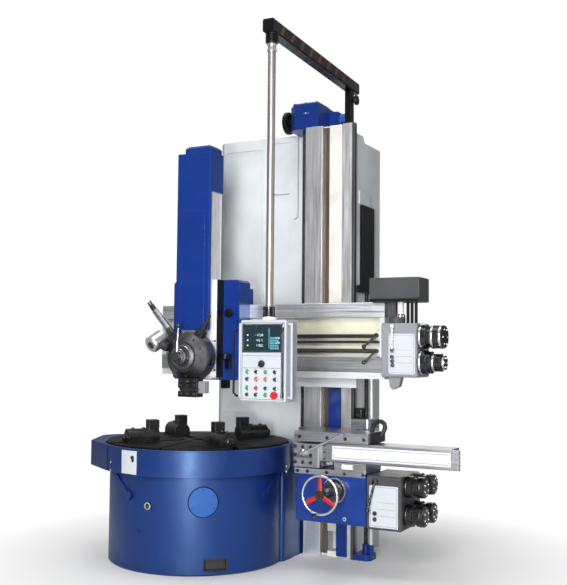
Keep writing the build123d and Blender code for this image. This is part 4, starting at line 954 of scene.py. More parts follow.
FIRST_ROW_DOWN, ROW_STEP, KEY_ROW_DOWN, KEY_STEP = 0.098, 0.034, 0.118, 0.0165
digit_bars = []
for row, text in enumerate(("-125.48", " 42.615", " 318.00")):
    digit_bars += number(text, case_x - 0.055, case_top - FIRST_ROW_DOWN - ROW_STEP * row, 0.0135)
make("screen_numbers", lit, "pendant", *digit_bars)
screen_y = screen_at[1] - 0.0018
dot, box = (face_to(plate(w, 0.010, 0.0015, corner, 0.0006)) for w,
            corner in ((0.010, 0.004), (0.022, 0.002)))
dots = [(case_x - 0.112, screen_y, case_top - FIRST_ROW_DOWN - ROW_STEP * k) for k in range(3)]
boxes = [(case_x + 0.112, screen_y, case_top - KEY_ROW_DOWN - 0.030 * k) for k in range(2)]
make("screen_marks", white_plastic, "pendant", repeated(dot, dots), repeated(box, boxes))
keys = [(case_x + 0.061 + KEY_STEP * i, screen_y, case_top - KEY_ROW_DOWN - KEY_STEP * j)
        for i in range(4) for j in range(5)]
key = face_to(plate(0.0128, 0.0130, 0.0035, 0.002, 0.001))
key_bar = face_to(plate(0.005, 0.130, 0.0012, 0.001, 0.0004),
                  (case_x + 0.046, screen_y, case_top - SCREEN_DOWN))
make("screen_keypad", cyan, "pendant", repeated(key, keys), key_bar)
dial_ring = turned([(0.016, 0), (0.0235, 0), (0.0235, 0.004), (0.021, 0.007), (0.016, 0.007), (0.016, 0)], 40)
selector = together(face_to(dial_ring),
                    face_to(plate(0.010, 0.038, 0.010, 0.003, 0.002), (0, -0.020, 0), (0, -1, 0),
                            (0.5, 0, 1)))
make("mode_selector", ball_black, "pendant",
     repeated(selector, [(case_x - 0.009, case_front - 0.0005, case_top - SELECTOR_DOWN)]))
tick = face_to(plate(0.0016, 0.006, 0.0008, 0.0003, 0.0002), (0, 0, 0.032))
ticks = []
for t in np.radians(np.arange(-120, 121, 30)):
    turn = np.array([[math.cos(t), 0, -math.sin(t)], [0, 1, 0], [math.sin(t), 0, math.cos(t)]])
    ticks.append((tick[0] @ turn + (case_x - 0.009, case_front - 0.0002, case_top - SELECTOR_DOWN), tick[1]))
make("selector_ticks", ink, "pendant", *ticks)
button_x = (-0.113, -0.047, 0.023, 0.092)
button_down = (0.337, 0.384, 0.442, 0.485)
layout = {green: ((0, 0), (0, 2), (2, 0), (3, 2)), amber: ((1, 1), (1, 2)), stop_red: ((2, 1),),
          ball_black: ((0, 1), (0, 3), (1, 0), (1, 3), (2, 2), (2, 3), (3, 0), (3, 1))}
cap = turned([(0, 0), (0.0100, 0), (0.0100, 0.011), (0.0088, 0.0135), (0.005, 0.0148), (0, 0.0150)], 28)
for material, places in layout.items():
    at = [(case_x + button_x[c], case_front - 0.0035, case_top - button_down[r]) for r, c in places]
    make("buttons_" + material.name.split("_")[-1], material, "pendant", repeated(face_to(cap), at))
collar_ring = turned([(0.0095, 0), (0.0155, 0), (0.0155, 0.003), (0.0135, 0.005), (0.0095, 0.005),
                      (0.0095, 0)], 28)
collars = [(case_x + x, case_front - 0.0005, case_top - d) for x in button_x for d in button_down]
make("button_collars", chrome, "pendant", repeated(face_to(collar_ring), collars[:-1]))
mushroom = turned([(0, 0.008), (0.0225, 0.008), (0.0235, 0.012), (0.0235, 0.0265), (0.0215, 0.0304),
                   (0, 0.0306)], 36)
make("stop_button", stop_red, "pendant",
     face_to(mushroom, (case_x + button_x[3], case_front, case_top - button_down[3])))
left_x, right_x, grip_y = case_x - 0.264, case_x + 0.147, case_front - 0.013
left_bends = ((0.100, 0.062), (0.020, 0.062), (0, 0.080), (0, 0.480), (0.020, 0.500), (0.100, 0.500))
left_grip = [(left_x + inward, case_front + 0.080, case_top - down) for inward, down in left_bends]
make("pendant_left_grip", black_paint, "pendant", tube(left_grip, 0.0075, 16))
make("pendant_right_grip", steel_dark, "pendant",
     rod((right_x, grip_y, case_top - 0.070), (right_x, grip_y, case_top - 0.480), 0.0075))
grip_ends = [rod((right_x, grip_y, z), (right_x, grip_y, z - 0.024), 0.0105)
             for z in (case_top - 0.050, case_top - 0.476)]
grip_ends += [rod((right_x, grip_y, z), (right_x, case_front + 0.001, z), 0.0085)
              for z in (case_top - 0.062, case_top - 0.488)]
make("pendant_right_grip_ends", ball_black, "pendant", *grip_ends)
face_screws = [(case_x + x, case_front - 0.0002, case_top - case_h / 2 + z) for x in (-0.146, 0.146)
               for z in (-0.241, 0.241)]
make("pendant_screws", chrome, "pendant", screws(cap_screw(0.0045, 0.003), face_screws))
print("bars on the screen:", len(digit_bars))

# %% [markdown]
# ## Levers and balls
# The operator's levers end in plastic balls. In the solids they have flats, so here each handle is
# made again: a tapered rod as a tube whose radius changes, and a ball as a turned half circle.


# %% Rail levers
def ball(r):
    t = np.linspace(-np.pi / 2, np.pi / 2, 15)
    return turned(np.stack([r * np.cos(t), r * np.sin(t)], -1), 28)


def hub(r, tall):
    return turned([(0, 0), (r, 0), (r, tall * 0.6), (r * 0.9, tall * 0.68), (r * 0.6, tall), (0, tall)], 32)


front, clutch_x = low["rail_feed_box"][1], high["rail_feed_box"][0]
box_x0, box_top = 1.500, 1.840
lever_x, lever_z = box_x0 + 0.092, box_top - 0.200
tip = np.array([lever_x + 0.008, front - 0.034, box_top - 0.024])
make("feed_lever", chrome, "rail", face_to(hub(0.020, 0.022), (lever_x, front, lever_z)),
     rod((lever_x, front - 0.014, lever_z), tip, 0.0075, 0.0055), stands_for=["rail_levers"],
     slot="chrome_steel")
make("feed_lever_ball", white_plastic, "rail", repeated(ball(0.0172), [tip]))
feed_knob = turned([(0, 0), (0.007, 0), (0.007, 0.010), (0.0125, 0.015), (0.0145, 0.022), (0.012, 0.030),
                    (0.006, 0.034), (0, 0.0345)], 24)
first_knob = 0.250
knobs = [face_to(feed_knob, (lever_x + 0.002 + (down - first_knob) * 0.04, front, box_top - down))
         for down in (first_knob, 0.282, 0.312)]
make("feed_knobs", ball_black, "rail", *knobs)
clamp_rods, clamp_balls = [], []
clamp_x, clamp_y, clamp_tip_x = 1.440, shaft_y - 0.0443, 1.348
clamp_hub = turned([(0, 0), (0.017, 0), (0.017, 0.020), (0.013, 0.024), (0, 0.024)], 28)
for z in (1.750, 1.632):
    clamp_tip = (clamp_tip_x, clamp_y - 0.034, z - 0.086)
    clamp_rods += [face_to(clamp_hub, (clamp_x, clamp_y, z)),
                   rod((clamp_x, clamp_y - 0.014, z), clamp_tip, 0.0095, 0.0065)]
    clamp_balls.append(clamp_tip)
make("shaft_clamp_handles", clutch_steel, "rail", *clamp_rods, slot="chrome_steel")
make("shaft_clamp_balls", ball_black, "rail", repeated(ball(0.0175), clamp_balls))
print("levers made")

# %% [markdown]
# ## Feed cases
# Both feed cases carry a bright plate with a thin engraved frame, bare apart from a few screws.
# The clutches on their ends are stacks of coils in turned housings, which show as dark drums
# with bright bands between them.


# %% Plates and clutches
def face_plate(name, body, centre, width, height):
    """The plate, its engraved frame and its corner screws, standing on the case's front."""
    x, y, z = centre
    make(name, plate_silver, body, face_to(plate(width, height, 0.003, 0.006, 0.001), (x, y, z)))
    y -= 0.003
    stroke = plate(width * 0.62, 0.0015, 0.0005, 0.0004, 0.0002)
    lines = [face_to(frame_line(width - 0.022, height - 0.022, 0.0015, 0.0005), (x, y, z))]
    lines += [face_to(stroke, (x + width * 0.08, y, z + height * s)) for s in (0.10, -0.06, -0.22)]
    make(name + "_lines", ink, body, *lines)
    spots = [(x + a * (width / 2 - 0.006), y, z + b * (height / 2 - 0.006)) for a in (-1, 1) for b in (-1, 1)]
    make(name + "_screws", steel_bright, body, screws(cap_screw(0.0045, 0.003), spots))


face_plate("rail_feed_plate", "rail", (1.662, front + 0.0005, 1.612), 0.205, 0.300)
side_front = low["side_feed_box"][1]
face_plate("side_feed_plate", "side_head", (1.577, side_front + 0.0005, 0.512), 0.220, 0.300)
CLUTCH_Y, LOW_CLUTCH_Z, HIGH_CLUTCH_Z = 0.230, 1.552, 1.740
rail_bands = []
for z, steps in ((LOW_CLUTCH_Z, ((0.000, 0.091), (0.092, 0.067), (0.166, 0.053))),
                 (HIGH_CLUTCH_Z, ((0.000, 0.091), (0.088, 0.087), (0.150, 0.087)))):
    for x, r in steps:
        band = turned([(r - 0.014, 0.006), (r + 0.0003, 0.006), (r + 0.0018, 0.009), (r + 0.0018, 0.021),
                       (r + 0.0003, 0.024), (r - 0.014, 0.024)], 56)
        rail_bands.append(face_to(band, (clutch_x + x, CLUTCH_Y, z), (1, 0, 0)))
make("rail_clutch_bands", chrome, "rail", *rail_bands, slot="chrome_steel")
rail_bolts = [(clutch_x + x, CLUTCH_Y + r * math.cos(t), z + r * math.sin(t))
              for z, x, r in ((LOW_CLUTCH_Z, 0.191, 0.038), (HIGH_CLUTCH_Z, 0.189, 0.060))
              for t in np.radians(np.arange(0, 360, 60))]
make("rail_clutch_bolts", steel_bright, "rail", screws(cap_screw(0.007, 0.007), rail_bolts, (1, 0, 0)))
side_clutch_x, side_bolt_r = high["side_feed_box"][0], 0.045
side_bands, side_bolts = [], []
for y in (0.120, 0.320):
    for z in (0.450, 0.655):
        for x, r in ((0.0, 0.0785), (0.100, 0.0745)):
            band = turned([(r - 0.012, 0.006), (r, 0.006), (r + 0.0015, 0.009), (r + 0.0015, 0.019),
                           (r, 0.022), (r - 0.012, 0.022)], 48)
            side_bands.append(face_to(band, (side_clutch_x + x, y, z), (1, 0, 0)))
        side_bolts += [(side_clutch_x + 0.149, y + side_bolt_r * math.cos(t), z + side_bolt_r * math.sin(t))
                       for t in np.radians(np.arange(30, 390, 60))]
make("side_clutch_bands", clutch_steel, "side_head", *side_bands)
make("side_clutch_bolts", steel_bright, "side_head", screws(cap_screw(0.0065, 0.007), side_bolts, (1, 0, 0)))
print("cases dressed")

# %% [markdown]
# ## Terminal box and hoses
# The terminal box has a lid with a folded edge, and corrugated hoses drop from it to the feed case.
# A corrugated hose is a tube whose radius swings with a sine along its length.

# %% Terminal box, pipe and hoses
term_low, term_high = low["rail_terminal_box"], high["rail_terminal_box"]
term_wide, term_x, TERM_Y = term_high[0] - term_low[0], (term_low[0] + term_high[0]) / 2, 0.1705
terminal_lid = plate(term_wide + 0.004, 0.150, 0.005, 0.006, 0.002)
make("terminal_lid", charcoal, "rail", face_to(terminal_lid, (term_x, TERM_Y, 2.106)))
skirt = plate(term_wide + 0.008, 0.022, 0.008, 0.003, 0.0015)
make("terminal_bottom_edge", ball_black, "rail", face_to(skirt, (term_x, TERM_Y, 2.012)))
cable_low, cable_high = low["rail_cables"], high["rail_cables"]
PIPE_FOOT = (1.618, 0.250, 1.886)
pipe_tall = cable_high[2] - PIPE_FOOT[2]
pipe = turned([(0, 0.0), (0.024, 0.0), (0.024, pipe_tall), (0, pipe_tall)], 32)
make("cable_pipe", cream, "rail", upright(pipe, PIPE_FOOT), stands_for=["rail_cables"], slot="cream_paint")
nut_ring = turned([(0.0245, 0), (0.034, 0), (0.034, 0.018), (0.030, 0.022), (0.0245, 0.022), (0.0245, 0)], 32)
make("cable_pipe_nut", chrome, "rail", upright(nut_ring, PIPE_FOOT))
RINGS = 121
hoses = []
z = np.linspace(cable_low[2], cable_high[2], RINGS)
for k in range(3):
    path = np.stack([np.full_like(z, 1.675 + 0.032 * k), np.full_like(z, PIPE_FOOT[1]), z], -1)
    hoses.append(tube(path, 0.0122 + 0.0009 * np.sin(np.arange(RINGS) * np.pi / 2), 14))
make("corrugated_hoses", rubber, "rail", *hoses, slot="black_paint")
print("terminal box dressed")

# %% [markdown]
# ## The vertical head
# The ram runs between two steel strips that are screwed to the saddle, and a sheet cover with a
# faint raised panel hides its screw.

# %% Saddle strips and ram cover
saddle_front = 0.050
strip_front = low["saddle"][1]
saddle_z0, saddle_z1 = low["saddle"][2] + 0.020, high["saddle"][2]
saddle_tall, saddle_mid = saddle_z1 - saddle_z0, (saddle_z0 + saddle_z1) / 2
strips, strip_screws = [], []
for side, dark_edge in ((-1, 0.0), (1, 0.009)):
    x = ram_x + side * (0.1353 + 0.017)
    guide = plate(0.0335 - dark_edge, saddle_tall, 0.003, 0.002, 0.001)
    strips.append(face_to(guide, (x - dark_edge / 2, strip_front + 0.0005, saddle_mid)))
    strip_screws += [(x - dark_edge / 2, strip_front - 0.0026, z)
                     for z in np.arange(saddle_z0 + 0.060, 1.75, 0.115)]
make("ram_guide_strips", steel_ram, "saddle", *strips, slot="ground_steel")
front_edge = plate(0.008, saddle_tall, 0.003, 0.001, 0.0005)
side_edge = plate(0.087, saddle_tall, 0.0012, 0.001, 0.0005)
make("ram_guide_edge", black_paint, "saddle",
     face_to(front_edge, (ram_x + 0.1653, strip_front + 0.0005, saddle_mid)),
     face_to(side_edge, (ram_x + 0.1693, saddle_front - 0.0435, saddle_mid), (1, 0, 0)),
     slot="black_paint")
make("ram_guide_screws", oxide, "saddle", screws(cap_screw(0.0085, 0.006), strip_screws))
cover_low, cover_high = low["ram_cover"], high["ram_cover"]
cover_x = (cover_low[0] + cover_high[0]) / 2
panel = plate(0.218, 0.930, 0.0022, 0.012, 0.0015)
make("ram_cover_panel", blue, "ram", face_to(panel, (cover_x, cover_low[1] + 0.0005, 2.275)),
     slot="blue_enamel")
cover_screws = [(cover_x + s * 0.142, cover_low[1] - 0.0002, z) for s in (-1, 1)
                for z in (1.80, 2.15, 2.50, 2.85, 3.15)]
make("ram_cover_screws", blue, "ram", screws(cap_screw(0.006, 0.005), cover_screws))
print("strip screws:", len(strip_screws))

# %% [markdown]
# ## The turret
# Five stations sit round the turret's drum. Each bore gets a ground sleeve, and between the
# stations cap screws hold the clamping ring. A turret piece is drawn with its own x pointing
# outwards and then swung to its station, which is one rotation about the turret's axis.


# %% Turret pieces
def swung(shape, angle, y):
    """Local x goes out at the station's angle, local y stays the machine's y."""
    a = math.radians(angle)
    corners, quads = shape
    spin = np.array([[math.cos(a), 0, math.sin(a)], [0, 1, 0], [-math.sin(a), 0, math.cos(a)]])
    return corners @ spin + (ram_x, y, turret_z), quads


turret_back = high["turret"][1] - 0.010
DRUM_WIDE, FIRST_STATION, STATION_STEP = 0.119, 60, 72
sleeve = turned([(0.0238, 0), (0.031, 0), (0.031, 0.011), (0.029, 0.0135), (0.0238, 0.0135), (0.0238, 0)], 36)
sleeve_out = face_to(sleeve, (turret_r - 0.009, 0, 0), (1, 0, 0))
sleeves = [swung(sleeve_out, FIRST_STATION + STATION_STEP * k, turret_back - DRUM_WIDE / 2) for k in range(5)]
make("turret_sleeves", clutch_steel, "turret", *sleeves)
cone_screw = face_to(cap_screw(0.008, 0.008), (0.1505, -0.1475, 0), (57, -65, 0), (0, 0, 1))
cone_screws = [swung(cone_screw, FIRST_STATION - 36 + 36 * k, turret_back) for k in range(10)]
make("turret_cone_screws", oxide, "turret", *cone_screws)
bright_rings = [turned([(r, y), (r + w, y), (r + w + 0.002, y + 0.002), (r + w, y + 0.004),
                        (r, y + 0.004), (r, y)], 72) for r, w,
                y in ((0.0560, 0.0045, 0.2420), (0.0395, 0.0030, 0.2440), (0.0795, 0.0040, 0.1920))]
hub_rings = [face_to(shape, (ram_x, turret_back, turret_z)) for shape in bright_rings]
make("turret_hub_rings", chrome, "turret", *hub_rings, slot="chrome_steel")
hub_y = turret_back - 0.244
hub_screw = face_to(cap_screw(0.0050, 0.004), (0.049, 0.0003, 0), (0, -1, 0), (0, 0, 1))
make("turret_hub_screws", oxide, "turret", *[swung(hub_screw, 60 * k, hub_y) for k in range(6)])
print("turret radius %.3f" % turret_r)

# %% [markdown]
# ## Turret tools
# Two boring bars, a pale socket holder, a cutter block with its clamp screws, and the lever that
# indexes the turret. The bars are bright where they are ground and dark at the root.

# %% Turret tools
tool_y = turret_back - 0.092
LONG_STATION, SHORT_STATION, HOLDER_AT, BLOCK_AT = FIRST_STATION + STATION_STEP, FIRST_STATION, 156, 270


def bar(profile, station):
    """A profile turned about the line that goes out of the turret at that station."""
    return swung(face_to(turned(profile, 32), out=(1, 0, 0)), station, tool_y)


root = [(0, 0.165), (0.0300, 0.165), (0.0300, 0.290), (0.0275, 0.294), (0, 0.294)]
shank = [(0, 0.290), (0.0262, 0.290), (0.0262, 0.490), (0.0210, 0.496), (0, 0.496)]
bar_head = [(0, 0.495), (0.0215, 0.495), (0.0215, 0.546), (0.018, 0.550), (0, 0.550)]
short_root = [(0, 0.165), (0.0185, 0.165), (0.0185, 0.298), (0.0150, 0.302), (0, 0.302)]
short_tip = [(0, 0.300), (0.0140, 0.300), (0.0140, 0.3735), (0.011, 0.3775), (0, 0.3775)]
prong = plate(0.0400, 0.0115, 0.0108, 0.002, 0.001)
prongs = [swung(face_to(prong, (0.5680, 0.0054, side * 0.0115)), LONG_STATION, tool_y) for side in (-1, 1)]
seats = []
for wide, deep, at in ((0.092, 0.057, LONG_STATION), (0.070, 0.057, SHORT_STATION),
                       (0.074, 0.100, HOLDER_AT)):
    seat = face_to(plate(wide, 0.060, deep, 0.006, 0.003), (turret_r + 0.016, 0.027, 0), (0, -1, 0),
                   (1, 0, 0))
    seats.append(swung(seat, at, tool_y))
make("boring_bar_shank", steel_head, "turret", bar(shank, LONG_STATION), slot="ground_steel")
make("boring_bar_ends", tool_black, "turret", bar(root, LONG_STATION), bar(bar_head, LONG_STATION),
     *prongs, *seats, stands_for=["turret_tools"], slot="dark_steel")
make("short_bar_root", oxide, "turret", bar(short_root, SHORT_STATION))
make("short_bar_tip", clutch_steel, "turret", bar(short_tip, SHORT_STATION))
holder = turned([(0.0305, 0.028), (0.0305, 0.0705), (0.058, 0.0705), (0.0665, 0.0605), (0.0665, -0.0605),
                 (0.060, -0.0665), (0, -0.0665)], 48)
tilt = math.radians(58)
holder_out = face_to(holder, (0.292, -0.058, 0), (0, -math.sin(tilt), math.cos(tilt)), (1, 0, 0))
make("socket_holder", satin_alloy, "turret", swung(holder_out, HOLDER_AT, tool_y), slot="chrome_steel")
SHIFT = 0.030
slabs = [face_to(plate(0.176, wide, deep, 0.006, 0.004), (at, 0.027, SHIFT), (0, -1, 0), (1, 0, 0))
         for at, wide, deep in ((0.206, 0.076, 0.089), (0.254, 0.034, 0.051), (0.2905, 0.045, 0.089))]
make("cutter_block", oxide, "turret", *[swung(slab, BLOCK_AT, tool_y) for slab in slabs], slot="dark_steel")
block_bolts = [(r, -0.0615, SHIFT + z) for r in (0.190, 0.222, 0.290) for z in (-0.060, 0.0, 0.060)]
bolt = face_to(square_screw(0.0095, 0.014), (0, 0, 0), (0, -1, 0), (1, 0, 0))
make("cutter_block_bolts", oxide, "turret", swung(repeated(bolt, block_bolts), BLOCK_AT, tool_y))
side_slab = face_to(plate(0.062, 0.092, 0.060, 0.005, 0.003), (0.236, 0.020, SHIFT + 0.116), (0, -1, 0),
                    (1, 0, 0))
make("cutter_block_side", slate, "turret", swung(side_slab, BLOCK_AT, tool_y), slot="dark_steel")
bit = face_to(plate(0.024, 0.022, 0.176, 0.001, 0.001), (0.254, -0.040, SHIFT - 0.080), (0, 0, 1), (1, 0, 0))
make("cutter_bit", tool_black, "turret", swung(bit, BLOCK_AT, tool_y))
lever_angle, lever_y = 87, hub_y - 0.020
lever = rod((0.0355, 0, 0), (0.225, 0, 0), 0.0095, 0.0065)
make("index_lever", chrome, "turret", swung(lever, lever_angle, lever_y), slot="chrome_steel")
make("index_lever_ball", ball_black, "turret",
     swung(repeated(ball(0.0176), [(0.238, 0, 0)]), lever_angle, lever_y))
print("turret dressed")

# %% [markdown]
# ## The side head
# Ground plates with black bolts, a bolted strip along the top of the apron, and the white cover of
# the scale along the side ram. Bolts come in rows, so each row is one shape and a list of places.

# %% Side head plates and bolts
head_front = low["side_saddle"][1]
seated = head_front + 0.0005
LOW_ROW, HIGH_ROW, CLAMP_Z = 0.730, 0.984, 0.869
shelf = plate(0.575, 0.042, 0.005, 0.003, 0.001)
make("apron_top_strip", steel_head, "side_head", face_to(shelf, (1.151, seated, LOW_ROW)),
     slot="ground_steel")
bolt_spots = [(x, head_front - 0.004, LOW_ROW) for x in (0.893, 0.976, 1.133, 1.278, 1.425)]
bolt_spots += [(x, seated, HIGH_ROW) for x in (0.905, 1.133, 1.281, 1.427)]
make("side_head_bolts", oxide, "side_head", screws(cap_screw(0.0135, 0.010), bolt_spots))
post_face = head_front - 0.030
post_bolts = [(x, post_face + 0.0005, z) for x in (0.884, 0.948, 1.012) for z in (0.912, 0.852, 0.797)]
make("tool_post_bolts", oxide, "side_ram", screws(square_screw(0.0125, 0.016), post_bolts))
post_edge = plate(0.014, 0.168, 0.003, 0.002, 0.001)
make("tool_post_edge", satin_alloy, "side_ram", face_to(post_edge, (1.073, post_face + 0.0005, 0.848)))
end_screws = [(1.112, seated, z) for z in (0.925, 0.878, 0.830)]
make("ram_end_screws", oxide, "side_ram", screws(cap_screw(0.0080, 0.007), end_screws))
scale_x0, scale_x1 = 1.172, high["side_ram"][0] - 0.060
scale_z0, scale_z1 = 0.827, 0.930
scale_x, scale_z = (scale_x0 + scale_x1) / 2, (scale_z0 + scale_z1) / 2
scale = plate(scale_x1 - scale_x0 - 0.002, scale_z1 - scale_z0 - 0.002, 0.006, 0.002, 0.001)
make("scale_cover", white_plastic, "side_ram", face_to(scale, (scale_x, head_front + 0.004, scale_z)))
seam = plate(scale_x1 - scale_x0 - 0.030, 0.0025, 0.0006, 0.0008, 0.0003)
seam_at = [(scale_x, head_front - 0.002, z) for z in (scale_z0 + 0.016, scale_z1 - 0.016)]
make("scale_cover_lines", ink, "side_ram", repeated(face_to(seam), seam_at))
end_spots = [(x, head_front - 0.002, z)
             for x in (scale_x0 + 0.012, scale_x1 - 0.012) for z in (scale_z0 + 0.03, scale_z1 - 0.03)]
make("scale_cover_screws", steel_bright, "side_ram", screws(cap_screw(0.005, 0.004), end_spots))
reader = plate(0.086, 0.036, 0.016, 0.004, 0.002)
make("scale_reader", white_plastic, "side_head", face_to(reader, (1.298, seated, 0.7805)))
lever_hub = turned([(0, 0.0), (0.0245, 0.0), (0.0245, 0.018), (0.0165, 0.0265), (0, 0.0265)], 36)
clamp_lever = rod((0.955, post_face - 0.0142, CLAMP_Z), (1.286, post_face - 0.0205, 1.0255), 0.0085, 0.0098)
make("tool_post_lever", chrome, "side_ram", face_to(lever_hub, (0.953, post_face - 0.0005, CLAMP_Z)),
     clamp_lever)
print("side head bolts:", len(bolt_spots) + len(post_bolts))

# %% [markdown]
# ## The hand wheel
# The rim is a torus: a small circle carried round a large one. Its three spokes are tapered bars
# with an oval section, painted red, and meet a dark hub. A crank handle stands on the rim. The
# rim is polished where hands run over it, so it gets the chrome.


# %% Hand wheel
def torus(big, small, sides=72, section=18):
    """((R + r cos v) cos u, (R + r cos v) sin u, r sin v), closed both ways."""
    v = np.linspace(0, 2 * np.pi, section + 1)
    return turned(np.stack([big + small * np.cos(v), small * np.sin(v)], -1), sides)


def spoke(r0, r1, w0, w1, thick):
    """An oval section w cos v by t sin v, drawn from the hub to the rim, closed at its ends."""
    v = np.linspace(0, 2 * np.pi, 16, endpoint=False)
    x = np.array([r0, r0, (r0 + r1) / 2, r1, r1])
    w = np.array([0, w0, (w0 + w1) * 0.46, w1, 0])
    t = np.array([0, thick, thick * 0.85, thick, 0])
    return skin_of(np.stack([np.broadcast_to(x[:, None], (5, 16)), np.outer(w, np.cos(v)),
                             np.outer(t, np.sin(v))], -1))


wheel_at = (wheel_x, -0.280, wheel_z)
rim_r, rim_thick = 0.1355, 0.0088
rim = face_to(torus(rim_r, rim_thick), wheel_at)
make("handwheel_rim", chrome, "handwheel", rim, stands_for=["side_handwheel"], slot="chrome_steel")
one_spoke = spoke(0.022, rim_r, 0.0190, 0.0150, 0.0068)
spokes = [face_to(one_spoke, wheel_at, (0, -1, 0), (-math.sin(a), 0, math.cos(a)))
          for a in (math.radians(angle) for angle in (90, 210, 330))]
make("handwheel_spokes", red, "handwheel", *spokes, slot="wheel_red")
wheel_hub = turned([(0, -0.024), (0.026, -0.024), (0.034, -0.014), (0.034, 0.014), (0.030, 0.020),
                    (0.018, 0.0215), (0.016, 0.018), (0, 0.018)], 48)
make("handwheel_hub", oxide, "handwheel", face_to(wheel_hub, wheel_at), slot="black_oxide")
grip = turned([(0, 0), (0.008, 0), (0.008, 0.012), (0.012, 0.020), (0.0150, 0.040), (0.0150, 0.062),
               (0.011, 0.078), (0, 0.082)], 32)
grip_at = (wheel_x - 0.018, wheel_at[1], wheel_z - rim_r)
make("handwheel_crank", ball_black, "handwheel", face_to(grip, grip_at), slot="black_paint")
print("hand wheel radius %.3f" % (rim_r + rim_thick))

# %% [markdown]
# ## Dial, lever and knobs on the apron and feed case
# The hand wheel's dial is a graduated collar: sixty short strokes round its rim, every fifth one
# longer. Strokes are thin plates turned about the dial's axis.

# %% Dial and controls
graduated = turned([(0.0862, 0.0405), (0.0905, 0.0405), (0.0925, 0.037), (0.0925, 0.0055),
                    (0.0905, 0.003), (0.0862, 0.003), (0.0862, 0.0405)], 72)
make("dial_collar", satin_alloy, "side_head", face_to(graduated, (wheel_x, head_front, wheel_z)))
STROKES, DIAL_R = 60, 0.0923
marks = []
for k in range(STROKES):
    t = 2 * math.pi * k / STROKES
    tall = 0.016 if k % 5 == 0 else 0.009
    out = np.array([math.sin(t), 0, math.cos(t)])
    mark_at = np.array([wheel_x, head_front - 0.036 + tall / 2, wheel_z]) + out * DIAL_R
    marks.append(face_to(plate(0.0016, tall, 0.0005, 0.0004, 0.0002), mark_at, out, (0, 1, 0)))
make("dial_strokes", ink, "side_head", *marks)
knob_x, knob_z = 1.512, 0.688
lever_tip = np.array([knob_x - 0.043, side_front - 0.045, knob_z - 0.204])
make("side_feed_lever", clutch_steel, "side_head", face_to(hub(0.0245, 0.0245), (knob_x, side_front, knob_z)),
     rod((knob_x, side_front - 0.016, knob_z), lever_tip, 0.0082, 0.0072), slot="chrome_steel")
make("side_feed_lever_ball", ball_black, "side_head", repeated(ball(0.0190), [lever_tip]))
side_knob = turned([(0, 0), (0.0165, 0), (0.0165, 0.010), (0.0120, 0.0185), (0, 0.0190)], 32)
make("side_feed_knob", ball_black, "side_head", face_to(side_knob, (knob_x - 0.002, side_front, 0.462)))
make("apron_plug", chrome, "side_head", face_to(cap_screw(0.0155, 0.0125), (1.279, head_front, 0.402)))
end_cover = plate(0.300, 0.080, 0.018, 0.010, 0.005)
make("side_head_end_cover", rubber, "side_head", face_to(end_cover, (1.459, 0.152, 0.992), (1, 0, 0)))
LOOP_RINGS = 28
t = np.linspace(0, 1, LOOP_RINGS)[:, None]
hose_points = np.array([(1.395, 0.240, 1.022), (1.400, 0.240, 1.160), (1.590, 0.215, 1.110),
                        (1.468, 0.200, 0.990)])
arc = sum(c * (1 - t) ** (3 - k) * t ** k * hose_points[k] for k, c in enumerate((1, 3, 3, 1)))
make("side_head_hose", rubber, "side_head",
     tube(arc, 0.0165 + 0.0012 * np.sin(np.arange(LOOP_RINGS) * np.pi / 2), 16))
print("controls made")

# %% [markdown]
# ## Light and floor
# Two soft boxes at the front give the long highlights on the drum and the ways, and a weak one
# fills from the left. Those at the side, above and behind keep the other views readable. The
# floor turns to plain white away from the machine, so that the picture has no horizon.


# %% Lamps
def soft_box(name, at, target, size, power):
    lamp = bpy.data.lights.new(name, "AREA")
    lamp.shape, lamp.size, lamp.size_y, lamp.energy = "RECTANGLE", size[0], size[1], power
    stand = bpy.data.objects.new(name, lamp)
    stand.location = at
    stand.rotation_euler = (Vector(target) - Vector(at)).to_track_quat("-Z", "Y").to_euler()
    bpy.context.scene.collection.objects.link(stand)


soft_box("key", (2.8, -6.4, 3.6), (0.5, 0.0, 1.7), (2.0, 3.0), 340)
soft_box("front", (2.9, -6.6, 0.95), (0.2, 0.0, 0.6), (0.9, 1.6), 235)
soft_box("fill", (-5.5, -3.0, 2.8), (0.2, 0.2, 1.4), (3.0, 3.0), 22)
soft_box("side", (6.5, 0.5, 3.0), (0.8, 0.4, 1.6), (2.5, 3.0), 50)
soft_box("top", (0.5, -0.5, 7.5), (0.5, 0.3, 0.0), (3.0, 3.0), 130)
soft_box("back", (-1.0, 6.5, 4.0), (0.4, 0.6, 1.6), (4.0, 3.0), 110)
print("lamps:", len(bpy.data.lights))

# %% [markdown]
# The world is a white background for the camera and through glass. Mirrors see a dimmer one
# that brightens with height, and everything else gets a weak even light.


# %% World and floor
def kinds_of_ray(tree):
    """The kinds of ray, and 1 for one from the camera or through glass."""
    ray = node(tree, "LightPath")
    sockets = {0: ray["Is Camera Ray"], 1: ray["Is Transmission Ray"]}
    return ray, node(tree, "Math", sockets, operation="MAXIMUM")[0]


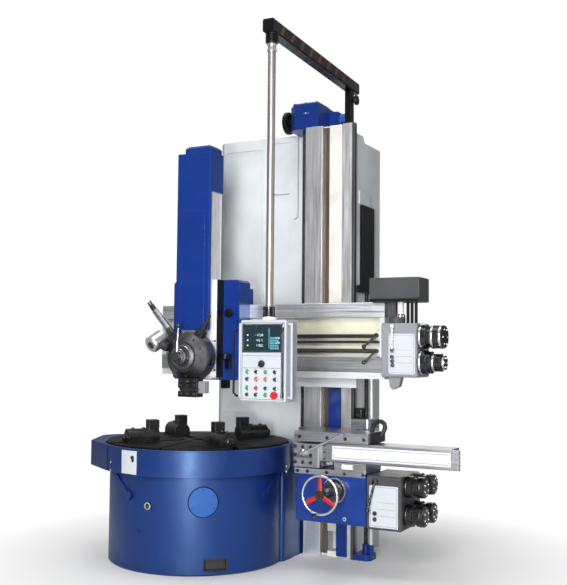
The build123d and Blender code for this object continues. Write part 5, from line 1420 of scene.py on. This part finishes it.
world = bpy.data.worlds.new("studio")
bpy.context.scene.world = world
world.use_nodes = True
tree = world.node_tree
tree.nodes.clear()
ray, seen = kinds_of_ray(tree)
height = node(tree, "SeparateXYZ", {0: node(tree, "TexCoord")["Generated"]})[2]
above = ranged(tree, height, 0.00, 0.60, (0.10, 0.55))
glossy = node(tree, "Background", {"Color": (1, 1, 1, 1), "Strength": above})[0]
shown = node(tree, "Background", {"Color": (1, 1, 1, 1), "Strength": 1.0})[0]
even = node(tree, "Background", {"Color": (1, 1, 1, 1), "Strength": 0.11})[0]
first = node(tree, "MixShader", {0: ray["Is Glossy Ray"], 1: even, 2: glossy})[0]
last = node(tree, "MixShader", {0: seen, 1: first, 2: shown})[0]
node(tree, "OutputWorld", {"Surface": last})

floor_mesh = bpy.data.meshes.new("floor")
FAR, FLOOR_Z = 60, -0.001
floor_corners = [(-FAR, -FAR, FLOOR_Z), (FAR, -FAR, FLOOR_Z), (FAR, FAR, FLOOR_Z), (-FAR, FAR, FLOOR_Z)]
floor_mesh.from_pydata(floor_corners, [], [(0, 1, 2, 3)])
floor = bpy.data.objects.new("floor", floor_mesh)
bpy.context.scene.collection.objects.link(floor)
paper, tree, shader = blank("floor_paper", Roughness=0.9, Specular_IOR_Level=0.0)
away = node(tree, "VectorMath", {0: spot(tree, (1, 1, 0), (0.6, 0.4, 0))}, operation="LENGTH")["Value"]
plain = node(tree, "Emission", {"Color": (1, 1, 1, 1), "Strength": 1.0})[0]
output = tree.nodes["Material Output"]
ray, seen = kinds_of_ray(tree)
shows = node(tree, "Math", {0: seen, 1: ray["Is Glossy Ray"]}, operation="MAXIMUM")[0]
tone = mixed(tree, shows, (0.34, 0.34, 0.34), (0.86, 0.86, 0.86))
plug_in(tree, shader, Base_Color=tone)
far = times(tree, ranged(tree, away, 1.0, 2.6), seen)
blend = node(tree, "MixShader", {0: far, 1: shader.outputs[0], 2: plain})[0]
tree.links.new(blend, output.inputs["Surface"])
floor_mesh.materials.append(paper)
print("world and floor ready")

# %% [markdown]
